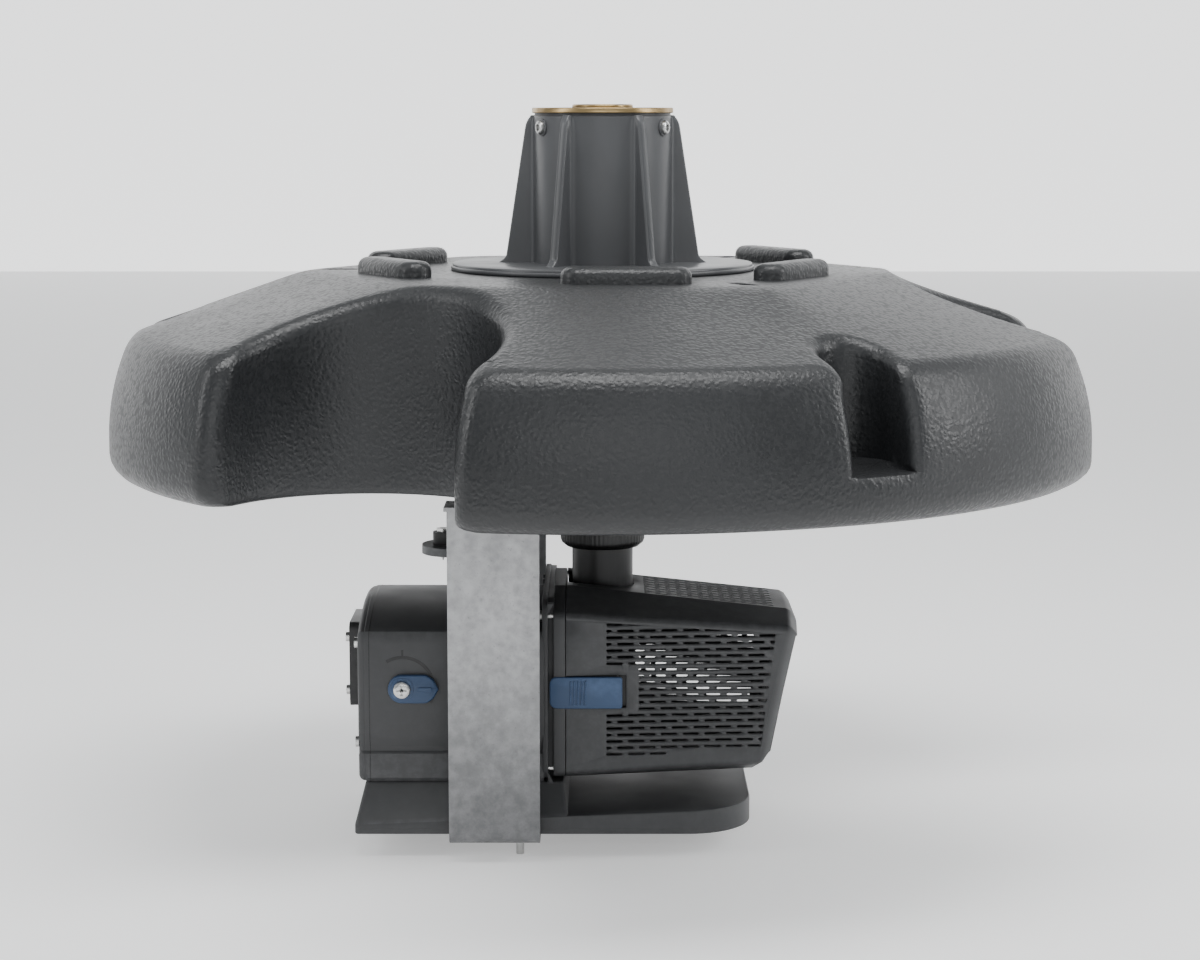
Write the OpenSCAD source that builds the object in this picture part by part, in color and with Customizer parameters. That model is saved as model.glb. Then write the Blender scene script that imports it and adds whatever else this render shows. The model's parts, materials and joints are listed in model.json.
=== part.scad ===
// Floating fountain pump. A hollow float carries a finned nozzle tower above the water,
// and a steel strap under it holds a submersible pump with its strainer cage.
// Origin: on the nozzle's axis, at the water's surface. +Z is up and the selector faces -Y.

/* [Float] */
// Radius of the float at its widest
float_r = 365; // [355:1:400]
// Height from the underside to the flat top
float_h = 144; // [138:1:156]
// Height from the underside to the edge where the side wall meets the sloping top
rim_h = 101; // [94:1:106]
// How deep the float sits in the water
draught = 40; // [25:1:60]
// Wall of the hollow moulding
float_wall = 5; // [4:0.5:6.5]
// Radius of the side wall's curve in section
side_curve_r = 168; // [155:1:220]
// Height at which the side wall starts to lean inwards
side_straight = 25; // [20:1:30]
// Rounding under the rim
float_fillet = 15; // [10:1:18]
// Distance from the axis to each side of the six-sided top
top_apothem = 200; // [192:1:206]
// Rounding of the top's six corners in plan
top_corner_r = 22; // [12:1:40]
// Gap between the standpipe and the well through the middle
well_gap = 2; // [1:0.5:6]

/* [Scallops and notches] */
// Direction of the first large scallop, in degrees from the front
scallop_turn = -30.5; // [-33:0.5:-28]
// Radius of each large scallop
scallop_r = 92.5; // [80:0.5:96]
// Distance from the axis to a scallop's inner wall
scallop_reach = 219; // [212:1:232]
// Radius of each small notch
notch_r = 24; // [18:1:28]
// Distance from the axis to a notch's inner wall
notch_reach = 302; // [285:1:310]
// Height of a notch's floor above the underside
notch_floor = 33; // [25:1:45]

/* [Top bars and slots] */
// Length of each raised bar
bar_l = 90; // [70:1:98]
// Width of each raised bar
bar_w = 25; // [18:1:27]
// Height of each raised bar
bar_h = 11.5; // [8:0.5:14]
// Distance from the axis to a bar's middle line
bar_dist = 164; // [160:1:168]
// How far each bar is shifted towards its notch
bar_shift = 16; // [10:1:18]
// Length of each radial slot
slot_l = 29; // [20:1:31]
// Width of each radial slot
slot_w = 11; // [8:0.5:14]
// Depth of each radial slot
slot_depth = 12; // [6:1:16]
// Distance from the axis to a slot's middle
slot_dist = 195; // [190:1:197]

/* [Nozzle tower] */
// Radius of the tower's round flange
flange_r = 113; // [108:1:120]
// Height of the flange, both steps together
flange_h = 4; // [3.5:0.5:6]
// Radius of the drum
drum_r = 51; // [49:0.5:52]
// Height from the flange's top to the drum's top
drum_h = 108.5; // [95:0.5:125]
// Wall of the drum
drum_wall = 3; // [2.5:0.5:4]
// Number of fins
fin_count = 6; // [3:3:9]
// Thickness of a fin
fin_t = 7; // [5:0.5:9]
// How far a fin's foot stands out from the axis
fin_foot_r = 73; // [66:1:85]
// How far a fin's top stands out from the axis
fin_top_r = 54; // [53:0.5:58]
// Radius of the brass ring
ring_r = 52.3; // [50:0.1:54]
// Thickness of the brass ring
ring_t = 4; // [3:0.5:6]
// Radius of the brass nozzle seat's hub
hub_r = 22.5; // [21:0.5:24]
// How far the hub stands above the ring
hub_rise = 2.5; // [1:0.5:6]
// Radius of the nozzle thread
thread_r = 16.6; // [14:0.1:17.5]
// Depth of the nozzle thread
thread_l = 16; // [12:1:18]

/* [Riser] */
// Outer radius of the standpipe in the tower
standpipe_r = 25; // [24:0.1:25.5]
// Bore radius of the standpipe
standpipe_bore = 20.5; // [19:0.1:21.5]
// Outer radius of the pump's discharge pipe
pipe_r = 22.9; // [21:0.1:23.4]
// Bore radius of the discharge pipe
pipe_bore = 19; // [17:0.1:20]
// Radius of the union nut
union_r = 31.8; // [30.6:0.2:34]
// Height of the union nut
union_h = 44; // [38:1:48]
// Distance from the float's underside to the union nut's lower end
union_drop = 64; // [62:1:68]

/* [Strap] */
// Width of the steel strap
strap_w = 66; // [56:1:70]
// Thickness of the steel strap
strap_t = 3; // [2:0.5:4]
// Distance from the middle to the strap's outer face
strap_half = 120; // [118:0.5:126]
// Middle of the strap along the pump
strap_x = -78; // [-82:1:-76]
// Depth of each flange under the float
strap_flange = 37; // [36:1:44]
// Thickness of the pads between flanges and float
pad_t = 12; // [8:1:14]
// Radius of each clamp knob
knob_r = 23; // [19:0.5:24]
// Height of each clamp knob
knob_h = 11; // [9:0.5:16]

/* [Pump] */
// Distance from the float's underside to the motor's axis
axis_drop = 161; // [161:1:175]
// Half width of the motor housing
motor_half_w = 86; // [85:0.5:88]
// Half height of the motor housing
motor_half_h = 63; // [62:0.5:66]
// How much the motor housing's crown falls from its middle to its shoulders
crown_fall = 15; // [8:1:17]
// Corner radius of the motor housing's section
motor_corner = 13; // [10:1:16]
// Wall of the motor housing
motor_wall = 4; // [3:0.5:5]
// Left end of the motor housing
motor_x0 = -174; // [-182:1:-172]
// Right end of the motor housing, where the carrier plate starts
motor_x1 = -40; // [-40.5:0.5:-39.5]
// Thickness of the rear cover
cover_t = 5; // [4:0.5:7]
// Thickness of the carrier plate
carrier_t = 13; // [12.5:0.5:13]
// Radius of the rotor's magnet
magnet_r = 18; // [14:0.5:18.5]
// Radius of the shaft
shaft_r = 4; // [3:0.5:5]
// Radius of the impeller
impeller_r = 34; // [28:0.5:38]
// Number of impeller blades
blade_count = 7; // [4:1:9]
// Outer radius of the pump chamber
chamber_r = 47; // [46.5:0.5:50]
// Length of the pump chamber along the axis
chamber_l = 50; // [49:1:56]
// Radius of the chamber's inlet eye
eye_r = 16; // [13:0.5:20]

/* [Strainer cage] */
// How far the cage's side stands in from the motor housing's side
cage_in = 1; // [0:0.5:2]
// Half height of the cage where it meets the carrier
cage_half_h = 73; // [72:0.5:75]
// Half width of the flat on the cage's top and underside
cage_flat = 38; // [34:1:48]
// How much the shoulders lie below the flat top
cage_shoulder = 12; // [8:1:16]
// Length of the cage along the pump's axis
cage_l = 165; // [150:1:180]
// Lean of the cage's end, in degrees
cage_rake = 11; // [0:1:14]
// How much narrower and lower the cage is at its end, on each side
cage_taper = 11; // [6:1:14]
// How far the cage's end hangs below the axis
cage_droop = 5.5; // [0:0.5:7]
// Bevel around the cage's end
cage_bevel = 10; // [6:1:14]
// Wall of the cage
cage_wall = 3; // [2.5:0.5:4]
// Rows of slots on each side
slot_rows = 11; // [5:2:13]
// Length of one slot
strainer_slot_l = 25; // [14:1:28]
// Height of one slot
strainer_slot_h = 3; // [2:0.5:4]

/* [Latches] */
// Height of a latch
latch_w = 24; // [18:0.5:26]
// Thickness of a latch
latch_t = 4.5; // [4:0.25:5]
// Where the latch's pin stands along the pump
latch_pin_x = 11; // [8:0.5:14]
// Radius of the latch's pin
latch_pin_r = 1.5; // [1.2:0.1:2]

/* [Selector] */
// Place of the selector along the pump
selector_x = -146; // [-150:1:-138]
// Height of the selector above the motor's axis
selector_up = 5; // [-5:0.5:12]
// Radius of the selector's round end
selector_r = 10.7; // [9:0.1:12.5]
// Reach of the selector's pointer from its screw
selector_reach = 26.8; // [23:0.1:30]
// Thickness of the selector lever
selector_t = 5; // [4:0.5:7]

/* [Foot] */
// Thickness of the foot's base plate
foot_t = 9; // [7:0.5:11]
// Half width of the foot
foot_half_w = 103; // [98:1:108]
// Left end of the foot
foot_x0 = -181; // [-186:1:-178]
// Right end of the foot
foot_x1 = 110; // [90:1:125]
// Radius of the foot's right corners
foot_corner = 48; // [30:1:60]
// Height of the tongue under the cage
tongue_h = 22; // [16:1:23]
// Distance from the motor's underside to the foot's underside
foot_h = 37; // [36:1:44]

/* [Cable inlet] */
// Bore radius of the cable gland's seal
gland_bore = 4.2; // [3:0.1:5]
// Radius of the gland's dome nut
gland_r = 11; // [10:0.5:13]
// Depth of the terminal box cover along the axis
box_t = 7.5; // [7:0.5:12]
// Width of the terminal box cover
box_w = 62; // [56:1:68]
// Height of the terminal box cover
box_h = 63; // [56:1:68]

/* [Hidden] */
// Numbers shared by the whole model
$fn = 64;
round_fn = 128;
hull_fn = 32;
roof_fn = 96;
arc_steps = 8;
over = 1;
fit = 0.1;
run = 0.05;
seat_gap = 0.3;
thin = 0.6;
full_turn = 360;
third_turn = 120;
sixth_turn = 60;
quarter_turn = 90;

// Levels of the float and the tower
float_z0 = -draught;
float_top_z = float_z0 + float_h;
notch_turn = scallop_turn + sixth_turn;
well_r = standpipe_r + well_gap;
gasket_t = 1.5;
gasket_w = 12;
flange_z0 = float_top_z + gasket_t;
flange_top_z = flange_z0 + flange_h;
drum_top_z = flange_top_z + drum_h;
ring_gap = 1.5;
ring_z0 = drum_top_z + ring_gap;
ring_top_z = ring_z0 + ring_t;
hub_top_z = ring_top_z + hub_rise;
fin_turn = sixth_turn / 2;

// Levels of the riser
union_z0 = float_z0 - union_drop;
union_z1 = union_z0 + union_h;
lip_h = 7;
pipe_collar_t = 5;
pipe_collar_in = 3.8;
pipe_collar_r = union_r - pipe_collar_in;
pipe_top_z = union_z0 + lip_h + pipe_collar_t;
washer_t = 2;
standpipe_z0 = pipe_top_z + washer_t;
lock_nut_h = 12;
lock_nut_r = 40;
lock_nut_sides = 8;

// Levels and lengths of the pump
pump_z = float_z0 - axis_drop;
cover_x0 = motor_x0 - cover_t;
carrier_x1 = motor_x1 + carrier_t;
rim_t = 9;
cage_x0 = carrier_x1 + seat_gap;
cage_half_w = motor_half_w - cage_in;
cage_x1 = cage_x0 + cage_l;
cage_top_z = pump_z + cage_half_h;
chamber_x1 = carrier_x1 + chamber_l;
neck_gap = 4.5;
neck_sink = cage_taper + cage_droop;
neck_wall = 3.5;
neck_r = pipe_r + fit + neck_wall;
neck_top_z = cage_top_z - cage_wall - neck_gap - neck_sink * (neck_r / cage_l);
pipe_insert = 18;
pipe_z0 = neck_top_z - pipe_insert;
foot_z0 = pump_z - motor_half_h - foot_h;

// Strap, pads and studs
strap_z0 = foot_z0 - strap_t;
strap_z1 = float_z0 - pad_t;
strap_inner = strap_half - strap_t;
knob_y = strap_half + knob_r + seat_gap;
stud_r = 5;
stud_gap = 1;
stud_in_float = 18;
insert_r = 8;
insert_l = 22;
insert_boss_r = 16;
foot_bolt_off = 17.5;
foot_bolt_x = strap_x + foot_bolt_off;
foot_bolt_in = 14;
foot_bolt_y = foot_half_w - foot_bolt_in;
foot_bolt_r = 3;
foot_nut_h = 3;
foot_nut_r = 5.8;

// Shared shapes

// A rod along X
module rod_x(x0, x1, r) {
    translate([x0, 0, 0]) rotate([0, quarter_turn, 0]) cylinder(h = x1 - x0, r = r);
}

// A tube along X
module tube_x(x0, x1, r_out, r_in) {
    difference() {
        rod_x(x0, x1, r_out);
        rod_x(x0 - over, x1 + over, r_in);
    }
}

// A rod along Y
module rod_y(y0, y1, r) {
    translate([0, y0, 0]) rotate([-quarter_turn, 0, 0]) cylinder(h = y1 - y0, r = r);
}

// A tube along Z
module tube_z(z0, z1, r_out, r_in) {
    translate([0, 0, z0]) difference() {
        cylinder(h = z1 - z0, r = r_out);
        translate([0, 0, -over]) cylinder(h = z1 - z0 + 2 * over, r = r_in);
    }
}

// A rectangle with true round corners, centred
module round_rect(w, h, r) {
    square([w - 2 * r, h], center = true);
    square([w, h - 2 * r], center = true);
    for (x = [-1, 1], y = [-1, 1])
        translate([x * (w / 2 - r), y * (h / 2 - r)]) circle(r = r);
}

// Carries a section drawn in Y and Z around the motor's axis from x0 to x1
module along_x(x0, x1) {
    translate([x0, 0, pump_z]) rotate([quarter_turn, 0, quarter_turn])
        linear_extrude(x1 - x0) children();
}

// Moves what is drawn around X = 0 onto the motor's axis
module on_axis() {
    translate([0, 0, pump_z]) children();
}

// Four places at the corners of a rectangle in Y and Z around the motor's axis
module four_corners(y, z) {
    for (sy = [-1, 1], sz = [-1, 1]) translate([0, sy * y, pump_z + sz * z]) children();
}

// Float

// Radius of the side wall at a height, moved inwards by the inset
function side_r(h, inset) = float_r - side_curve_r
    + sqrt(pow(side_curve_r - inset, 2) - pow(h - side_straight, 2));

// Half section of the rim: flat underside, round lower edge, short straight, leaning arc
function rim_points(inset) =
    let (r = float_r - inset, f = float_fillet - inset, c = side_curve_r - inset)
    let (lean = asin((rim_h - inset - side_straight) / c))
    concat([[0, inset]],
        [for (i = [0:arc_steps]) let (a = quarter_turn * (i / arc_steps - 1))
            [r - f + f * cos(a), inset + f + f * sin(a)]],
        [for (i = [0:arc_steps]) let (a = lean * i / arc_steps)
            [float_r - side_curve_r + c * cos(a), side_straight + c * sin(a)]],
        [[0, rim_h - inset]]);

// The sloping top: six soft facets from the round rim up to the six-sided flat
module float_roof(inset) {
    corner_dist = (top_apothem - top_corner_r) / cos(sixth_turn / 2);
    hull() {
        translate([0, 0, rim_h - inset - thin])
            cylinder(h = thin, r = side_r(rim_h - inset, inset), $fn = roof_fn);
        for (k = [0:5]) rotate(sixth_turn * k + sixth_turn / 2) translate([0, -corner_dist, 0])
            translate([0, 0, float_h - inset - thin])
                cylinder(h = thin, r = top_corner_r, $fn = hull_fn);
    }
}

// The three U-shaped scallops, through the full height
module scallops(grow) {
    for (k = [0:2]) rotate(scallop_turn + third_turn * k)
        translate([0, -scallop_reach - scallop_r, -over]) {
            cylinder(h = float_h + 2 * over, r = scallop_r + grow);
            translate([-scallop_r - grow, -float_r, 0])
                cube([2 * (scallop_r + grow), float_r, float_h + 2 * over]);
        }
}

// The three blind notches in the rim
module notches(grow) {
    for (k = [0:2]) rotate(notch_turn + third_turn * k)
        translate([0, -notch_reach - notch_r, notch_floor - grow]) {
            cylinder(h = float_h, r = notch_r + grow);
            translate([-notch_r - grow, -float_r, 0])
                cube([2 * (notch_r + grow), float_r, float_h]);
        }
}

// The three radial slots in the flat top
module top_slots(grow) {
    for (k = [0:2]) rotate(notch_turn + third_turn * k)
        translate([0, -slot_dist, float_h - slot_depth - grow])
            linear_extrude(slot_depth + grow + over)
                round_rect(slot_w + 2 * grow, slot_l + 2 * grow, slot_w / 2 - thin);
}

// One raised bar, a pill in plan with a stepped round crown
module top_bar() {
    crown = bar_h / 4;
    linear_extrude(bar_h - crown) round_rect(bar_l, bar_w, bar_w / 2 - thin);
    translate([0, 0, bar_h - crown]) linear_extrude(crown)
        round_rect(bar_l - 2 * crown, bar_w - 2 * crown, bar_w / 2 - crown - thin);
}

// Two bars flank each notch, each along its own side of the top
module top_bars() {
    for (k = [0:2], side = [-1, 1])
        rotate(third_turn * k + (side > 0 ? 0 : sixth_turn))
            translate([side * bar_shift, -bar_dist, float_h]) top_bar();
}

module insert_places() {
    for (side = [-1, 1]) translate([strap_x, side * knob_y, 0]) children();
}

vent_r = 10;
vent_boss_r = 17;
vent_dist = 150;
vent_turn = 60;
module vent_place() {
    rotate(vent_turn) translate([0, -vent_dist, 0]) children();
}

module float_body(inset) {
    difference() {
        union() {
            rotate_extrude($fn = round_fn) polygon(rim_points(inset));
            float_roof(inset);
        }
        scallops(inset);
        notches(inset);
        top_slots(inset);
        translate([0, 0, -over]) cylinder(h = float_h + 2 * over, r = well_r + inset);
    }
}

module float_shell() color([0.07, 0.07, 0.08]) translate([0, 0, float_z0]) {
    difference() {
        union() {
            float_body(0);
            top_bars();
        }
        difference() {
            float_body(float_wall);
            insert_places() cylinder(h = insert_l + float_wall, r = insert_boss_r);
        }
        insert_places() translate([0, 0, -over]) cylinder(h = insert_l + over, r = insert_r);
        vent_place() translate([0, 0, -over]) cylinder(h = float_wall + 2 * over, r = vent_r);
    }
}

// Screwed plug that closes the moulding's vent on the underside
vent_head_h = 4;
module vent_plug() color([0.1, 0.1, 0.11]) translate([0, 0, float_z0]) vent_place() {
    cylinder(h = float_wall + over, r = vent_r - fit);
    translate([0, 0, -vent_head_h]) cylinder(h = vent_head_h, r = vent_boss_r);
}

// Brass bushes in the underside that take the knobs' studs
module float_inserts() color([0.75, 0.6, 0.3]) translate([0, 0, float_z0]) insert_places()
    tube_z(0, insert_l - fit, insert_r - fit, stud_r + fit);

// Nozzle tower

module housing_gasket() color([0.12, 0.12, 0.12])
    tube_z(float_top_z, flange_z0, flange_r - gasket_w, flange_r - 2 * gasket_w);

// One fin: an upright plate whose outer edge leans in towards the top
foot_flare = 5;
module fin() {
    inner = drum_r - drum_wall / 2;
    rotate([quarter_turn, 0, -quarter_turn]) translate([0, 0, -fin_t / 2])
        linear_extrude(fin_t) polygon([[inner, 0], [fin_foot_r + foot_flare / 2, 0],
            [fin_foot_r, foot_flare], [fin_top_r, drum_h - foot_flare],
            [fin_top_r - foot_flare / 2, drum_h - over], [inner, drum_h - over]]);
}

screw_drop = 9;
housing_screw_r = 5.4;
housing_screw_t = 2.5;
housing_shank_r = 2.4;
housing_shank_l = 9;
module housing_screw_places() {
    for (k = [0:2]) rotate(fin_turn + sixth_turn / 2 + third_turn * k)
        translate([0, 0, drum_top_z - screw_drop]) children();
}

base_web_t = 5;
module nozzle_housing() color([0.13, 0.13, 0.14]) {
    step = flange_h / 2;
    step_in = 1.4;
    difference() {
        union() {
            translate([0, 0, flange_z0]) cylinder(h = step, r = flange_r);
            translate([0, 0, flange_z0 + step]) cylinder(h = step, r = flange_r - step_in);
            translate([0, 0, flange_top_z]) cylinder(h = drum_h, r = drum_r);
            for (k = [0:fin_count - 1]) translate([0, 0, flange_top_z])
                rotate(fin_turn + full_turn / fin_count * k) fin();
        }
        translate([0, 0, flange_z0 + base_web_t])
            cylinder(h = drum_h + flange_h, r = drum_r - drum_wall);
        translate([0, 0, flange_z0 - over])
            cylinder(h = base_web_t + 2 * over, r = standpipe_r + fit);
        housing_screw_places() rod_y(-drum_r - over, 0, housing_shank_r + fit);
    }
}

module housing_screws() color([0.75, 0.75, 0.76]) housing_screw_places() {
    rod_y(-drum_r - housing_screw_t, -drum_r, housing_screw_r);
    rod_y(-drum_r, -drum_r + housing_shank_l, housing_shank_r);
}

// Brass cover ring with a skirt that the three screws hold inside the drum
skirt_r = drum_r - drum_wall - fit;
skirt_t = 3;
skirt_h = 18;
module nozzle_ring() color([0.72, 0.55, 0.25]) difference() {
    union() {
        translate([0, 0, ring_z0]) cylinder(h = ring_t, r = ring_r);
        translate([0, 0, ring_z0 - skirt_h]) cylinder(h = skirt_h, r = skirt_r);
    }
    translate([0, 0, ring_z0 - skirt_h - over]) cylinder(h = skirt_h + over, r = skirt_r - skirt_t);
    translate([0, 0, ring_z0 - over]) cylinder(h = ring_t + 2 * over, r = hub_r + fit);
    housing_screw_places() rod_y(-drum_r, 0, housing_shank_r + fit);
}

// Brass nozzle seat with a female thread at its top and a collar under the ring
insert_collar_w = 4;
insert_collar_t = 4;
insert_drop = 14;
insert_step = 2;
insert_z0 = ring_z0 - insert_collar_t;
module nozzle_insert() color([0.78, 0.6, 0.28]) difference() {
    union() {
        translate([0, 0, insert_z0]) cylinder(h = insert_collar_t, r = hub_r + insert_collar_w);
        translate([0, 0, ring_z0]) cylinder(h = hub_top_z - ring_z0, r = hub_r);
        translate([0, 0, insert_z0 - insert_drop]) cylinder(h = insert_drop, r = standpipe_bore - fit);
    }
    translate([0, 0, hub_top_z - thread_l]) cylinder(h = thread_l + over, r = thread_r);
    translate([0, 0, insert_z0 - insert_drop - over])
        cylinder(h = insert_drop + insert_collar_t + ring_t, r = thread_r - insert_step);
}

// Riser

standpipe_z1 = insert_z0;
standpipe_ring_w = 4;
standpipe_ring_t = 3;
module standpipe() color([0.05, 0.05, 0.055]) difference() {
    union() {
        translate([0, 0, standpipe_z0]) cylinder(h = standpipe_z1 - standpipe_z0, r = standpipe_r);
        translate([0, 0, standpipe_z0])
            cylinder(h = union_z1 - standpipe_z0, r = pipe_collar_r);
        translate([0, 0, flange_z0 + base_web_t])
            cylinder(h = standpipe_ring_t, r = standpipe_r + standpipe_ring_w);
    }
    translate([0, 0, standpipe_z0 - over])
        cylinder(h = standpipe_z1 - standpipe_z0 + 2 * over, r = standpipe_bore);
}

// Nut that pulls the tower down on the float from below
module lock_nut() color([0.06, 0.06, 0.065]) difference() {
    translate([0, 0, float_z0 - lock_nut_h])
        cylinder(h = lock_nut_h, r = lock_nut_r, $fn = lock_nut_sides);
    translate([0, 0, float_z0 - lock_nut_h - over])
        cylinder(h = lock_nut_h + 2 * over, r = standpipe_r + fit);
}

union_chamfer = 5;
module union_nut() color([0.03, 0.03, 0.035]) translate([0, 0, union_z0]) difference() {
    union() {
        translate([0, 0, union_chamfer]) cylinder(h = union_h - union_chamfer, r = union_r);
        cylinder(h = union_chamfer, r1 = union_r - union_chamfer, r2 = union_r);
    }
    translate([0, 0, -over]) cylinder(h = union_h + 2 * over, r = pipe_r + fit);
    translate([0, 0, lip_h]) cylinder(h = union_h, r = pipe_collar_r + fit);
}

module union_washer() color([0.1, 0.1, 0.1])
    tube_z(pipe_top_z, standpipe_z0, pipe_collar_r, standpipe_bore);

module discharge_pipe() color([0.03, 0.03, 0.035]) difference() {
    union() {
        translate([0, 0, pipe_z0]) cylinder(h = pipe_top_z - pipe_z0, r = pipe_r);
        translate([0, 0, pipe_top_z - pipe_collar_t]) cylinder(h = pipe_collar_t, r = pipe_collar_r);
    }
    translate([0, 0, pipe_z0 - over]) cylinder(h = pipe_top_z - pipe_z0 + 2 * over, r = pipe_bore);
}

// Strap and clamps

strap_bend_r = 3;
// Outline of the bent strip in Y and Z: base, two uprights and two outward flanges
module strap_outline() {
    difference() {
        translate([-strap_half, strap_z0]) square([2 * strap_half, strap_z1 - strap_z0]);
        translate([-strap_inner, strap_z0 + strap_t]) square([2 * strap_inner, strap_z1 - strap_z0]);
        for (side = [-1, 1]) translate([side * strap_half, strap_z0]) difference() {
            square(2 * strap_bend_r, center = true);
            translate([-side * strap_bend_r, strap_bend_r]) circle(r = strap_bend_r);
        }
    }
    for (side = [-1, 1])
        translate([side > 0 ? strap_inner : -strap_half - strap_flange, strap_z1 - strap_t])
            square([strap_flange + strap_t, strap_t]);
}

module foot_bolt_places() {
    for (side = [-1, 1]) translate([foot_bolt_x, side * foot_bolt_y, 0]) children();
}

module support_strap() color([0.62, 0.63, 0.64]) difference() {
    translate([strap_x - strap_w / 2, 0, 0]) rotate([quarter_turn, 0, quarter_turn])
        linear_extrude(strap_w) strap_outline();
    insert_places() translate([0, 0, strap_z1 - strap_t - over])
        cylinder(h = strap_t + 2 * over, r = stud_r + stud_gap);
    foot_bolt_places() translate([0, 0, strap_z0 - over])
        cylinder(h = strap_t + 2 * over, r = foot_bolt_r + fit);
}

module strap_pads() color([0.05, 0.05, 0.05]) insert_places()
    tube_z(strap_z1, float_z0, knob_r, stud_r + stud_gap);

knob_lobes = 6;
knob_floor = 2;
module clamp_knobs() color([0.06, 0.06, 0.065]) insert_places() {
    lobe_r = knob_r / 4;
    translate([0, 0, strap_z1 - strap_t - knob_h]) difference() {
        cylinder(h = knob_h, r = knob_r);
        for (k = [0:knob_lobes - 1]) rotate(full_turn / knob_lobes * k)
            translate([knob_r + lobe_r / 2, 0, -over]) cylinder(h = knob_h + 2 * over, r = lobe_r);
        translate([0, 0, knob_floor]) cylinder(h = knob_h, r = stud_r + fit);
    }
}

module knob_studs() color([0.7, 0.7, 0.7]) insert_places()
    translate([0, 0, strap_z1 - strap_t - knob_h + knob_floor + fit])
        cylinder(h = knob_h - knob_floor - fit + strap_t + pad_t + stud_in_float, r = stud_r);

// Cable clamp on the strap's inner face
clamp_drop = 50;
clamp_t = 6;
clamp_r = 25;
clamp_l = 82;
clamp_reach = 53;
clamp_x0 = strap_x - clamp_reach;
clamp_z = float_z0 - clamp_drop;
clamp_tab_w = 26;
clamp_tab_h = 24;
clamp_tab_t = 4;
clamp_neck = 12;
clamp_y = -strap_inner + clamp_r + clamp_neck;
clamp_bar_h = 9;
clamp_bar_w = 14;
clamp_bar_corner = 5;
clamp_screw_r = 2.2;
clamp_screw_inset = 15;
clamp_screw_pitch = 42;
clamp_screw_x = clamp_x0 + clamp_screw_inset;

module clamp_screw_places() {
    for (k = [0:1]) translate([clamp_screw_x + k * clamp_screw_pitch, clamp_y, clamp_z]) children();
}

module cable_clamp_base() color([0.2, 0.2, 0.21]) difference() {
    union() {
        translate([clamp_x0 + clamp_l / 2, clamp_y, clamp_z - clamp_t]) linear_extrude(clamp_t)
            round_rect(clamp_l, 2 * clamp_r, clamp_r - over);
        translate([strap_x - clamp_tab_w / 2, -strap_inner, clamp_z - clamp_tab_h])
            cube([clamp_tab_w, clamp_tab_t, clamp_tab_h]);
        translate([strap_x - clamp_tab_w / 2, -strap_inner, clamp_z - clamp_t])
            cube([clamp_tab_w, clamp_r, clamp_t]);
    }
    clamp_screw_places() translate([0, 0, -clamp_t - over])
        cylinder(h = clamp_t + 2 * over, r = clamp_screw_r + fit);
}

module cable_clamp_bar() color([0.08, 0.08, 0.085]) difference() {
    middle_x = clamp_screw_x + clamp_screw_pitch / 2;
    translate([middle_x, clamp_y, clamp_z]) linear_extrude(clamp_bar_h)
        round_rect(clamp_screw_pitch + clamp_bar_w, clamp_bar_w, clamp_bar_corner);
    translate([middle_x, clamp_y, clamp_z]) rod_y(-clamp_bar_w, clamp_bar_w, gland_bore);
    clamp_screw_places() translate([0, 0, -over])
        cylinder(h = clamp_bar_h + 2 * over, r = clamp_screw_r + fit);
}

clamp_tip_l = 6;
clamp_head_h = 2.5;
module cable_clamp_screws() color([0.5, 0.5, 0.5]) clamp_screw_places() {
    translate([0, 0, -clamp_t]) cylinder(h = clamp_t + clamp_bar_h, r = clamp_screw_r);
    translate([0, 0, -clamp_t - clamp_tip_l]) cylinder(h = clamp_tip_l, r1 = thin, r2 = clamp_screw_r);
    translate([0, 0, clamp_bar_h]) cylinder(h = clamp_head_h, r = 2 * clamp_screw_r);
}

// Foot

foot_wall = 4;
skirt_in = 4;
tongue_in = 10;
tongue_fall = 6;

// Plan of the foot from x0 on: square left end, round right corners
module foot_plan(x0, inset) {
    r = foot_corner - inset;
    w = foot_half_w - inset;
    translate([x0, -w]) square([foot_x1 - inset - r - x0, 2 * w]);
    translate([x0, -w + r]) square([foot_x1 - inset - x0, 2 * (w - r)]);
    for (side = [-1, 1]) translate([foot_x1 - inset - r, side * (w - r)]) circle(r = r);
}

// The flared skirt between the base plate and the motor's underside
module foot_skirt(inset, top) {
    w0 = foot_half_w - inset;
    w1 = motor_half_w - skirt_in - inset;
    hull() {
        translate([foot_x0 + inset, -w0, foot_z0 + foot_t - thin])
            cube([motor_x1 - foot_x0 - 2 * inset, 2 * w0, thin]);
        translate([motor_x0 + inset, -w1, top - thin])
            cube([motor_x1 - ear_flange_t - over - motor_x0 - 2 * inset, 2 * w1, thin]);
    }
}

// The tongue that reaches under the cage, its top sloping down to the right
module foot_tongue(inset) {
    hull() {
        translate([0, 0, foot_z0 + foot_t - thin]) linear_extrude(thin)
            foot_plan(motor_x1 - skirt_in, inset, $fn = hull_fn);
        translate([0, 0, foot_z0 + tongue_h - tongue_fall - inset]) linear_extrude(thin)
            foot_plan(motor_x1 - skirt_in, inset + tongue_in, $fn = hull_fn);
        translate([motor_x1 - skirt_in, -foot_half_w + tongue_in + inset,
            foot_z0 + tongue_h - inset - thin])
            cube([thin, 2 * (foot_half_w - tongue_in - inset), thin]);
    }
}

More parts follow.
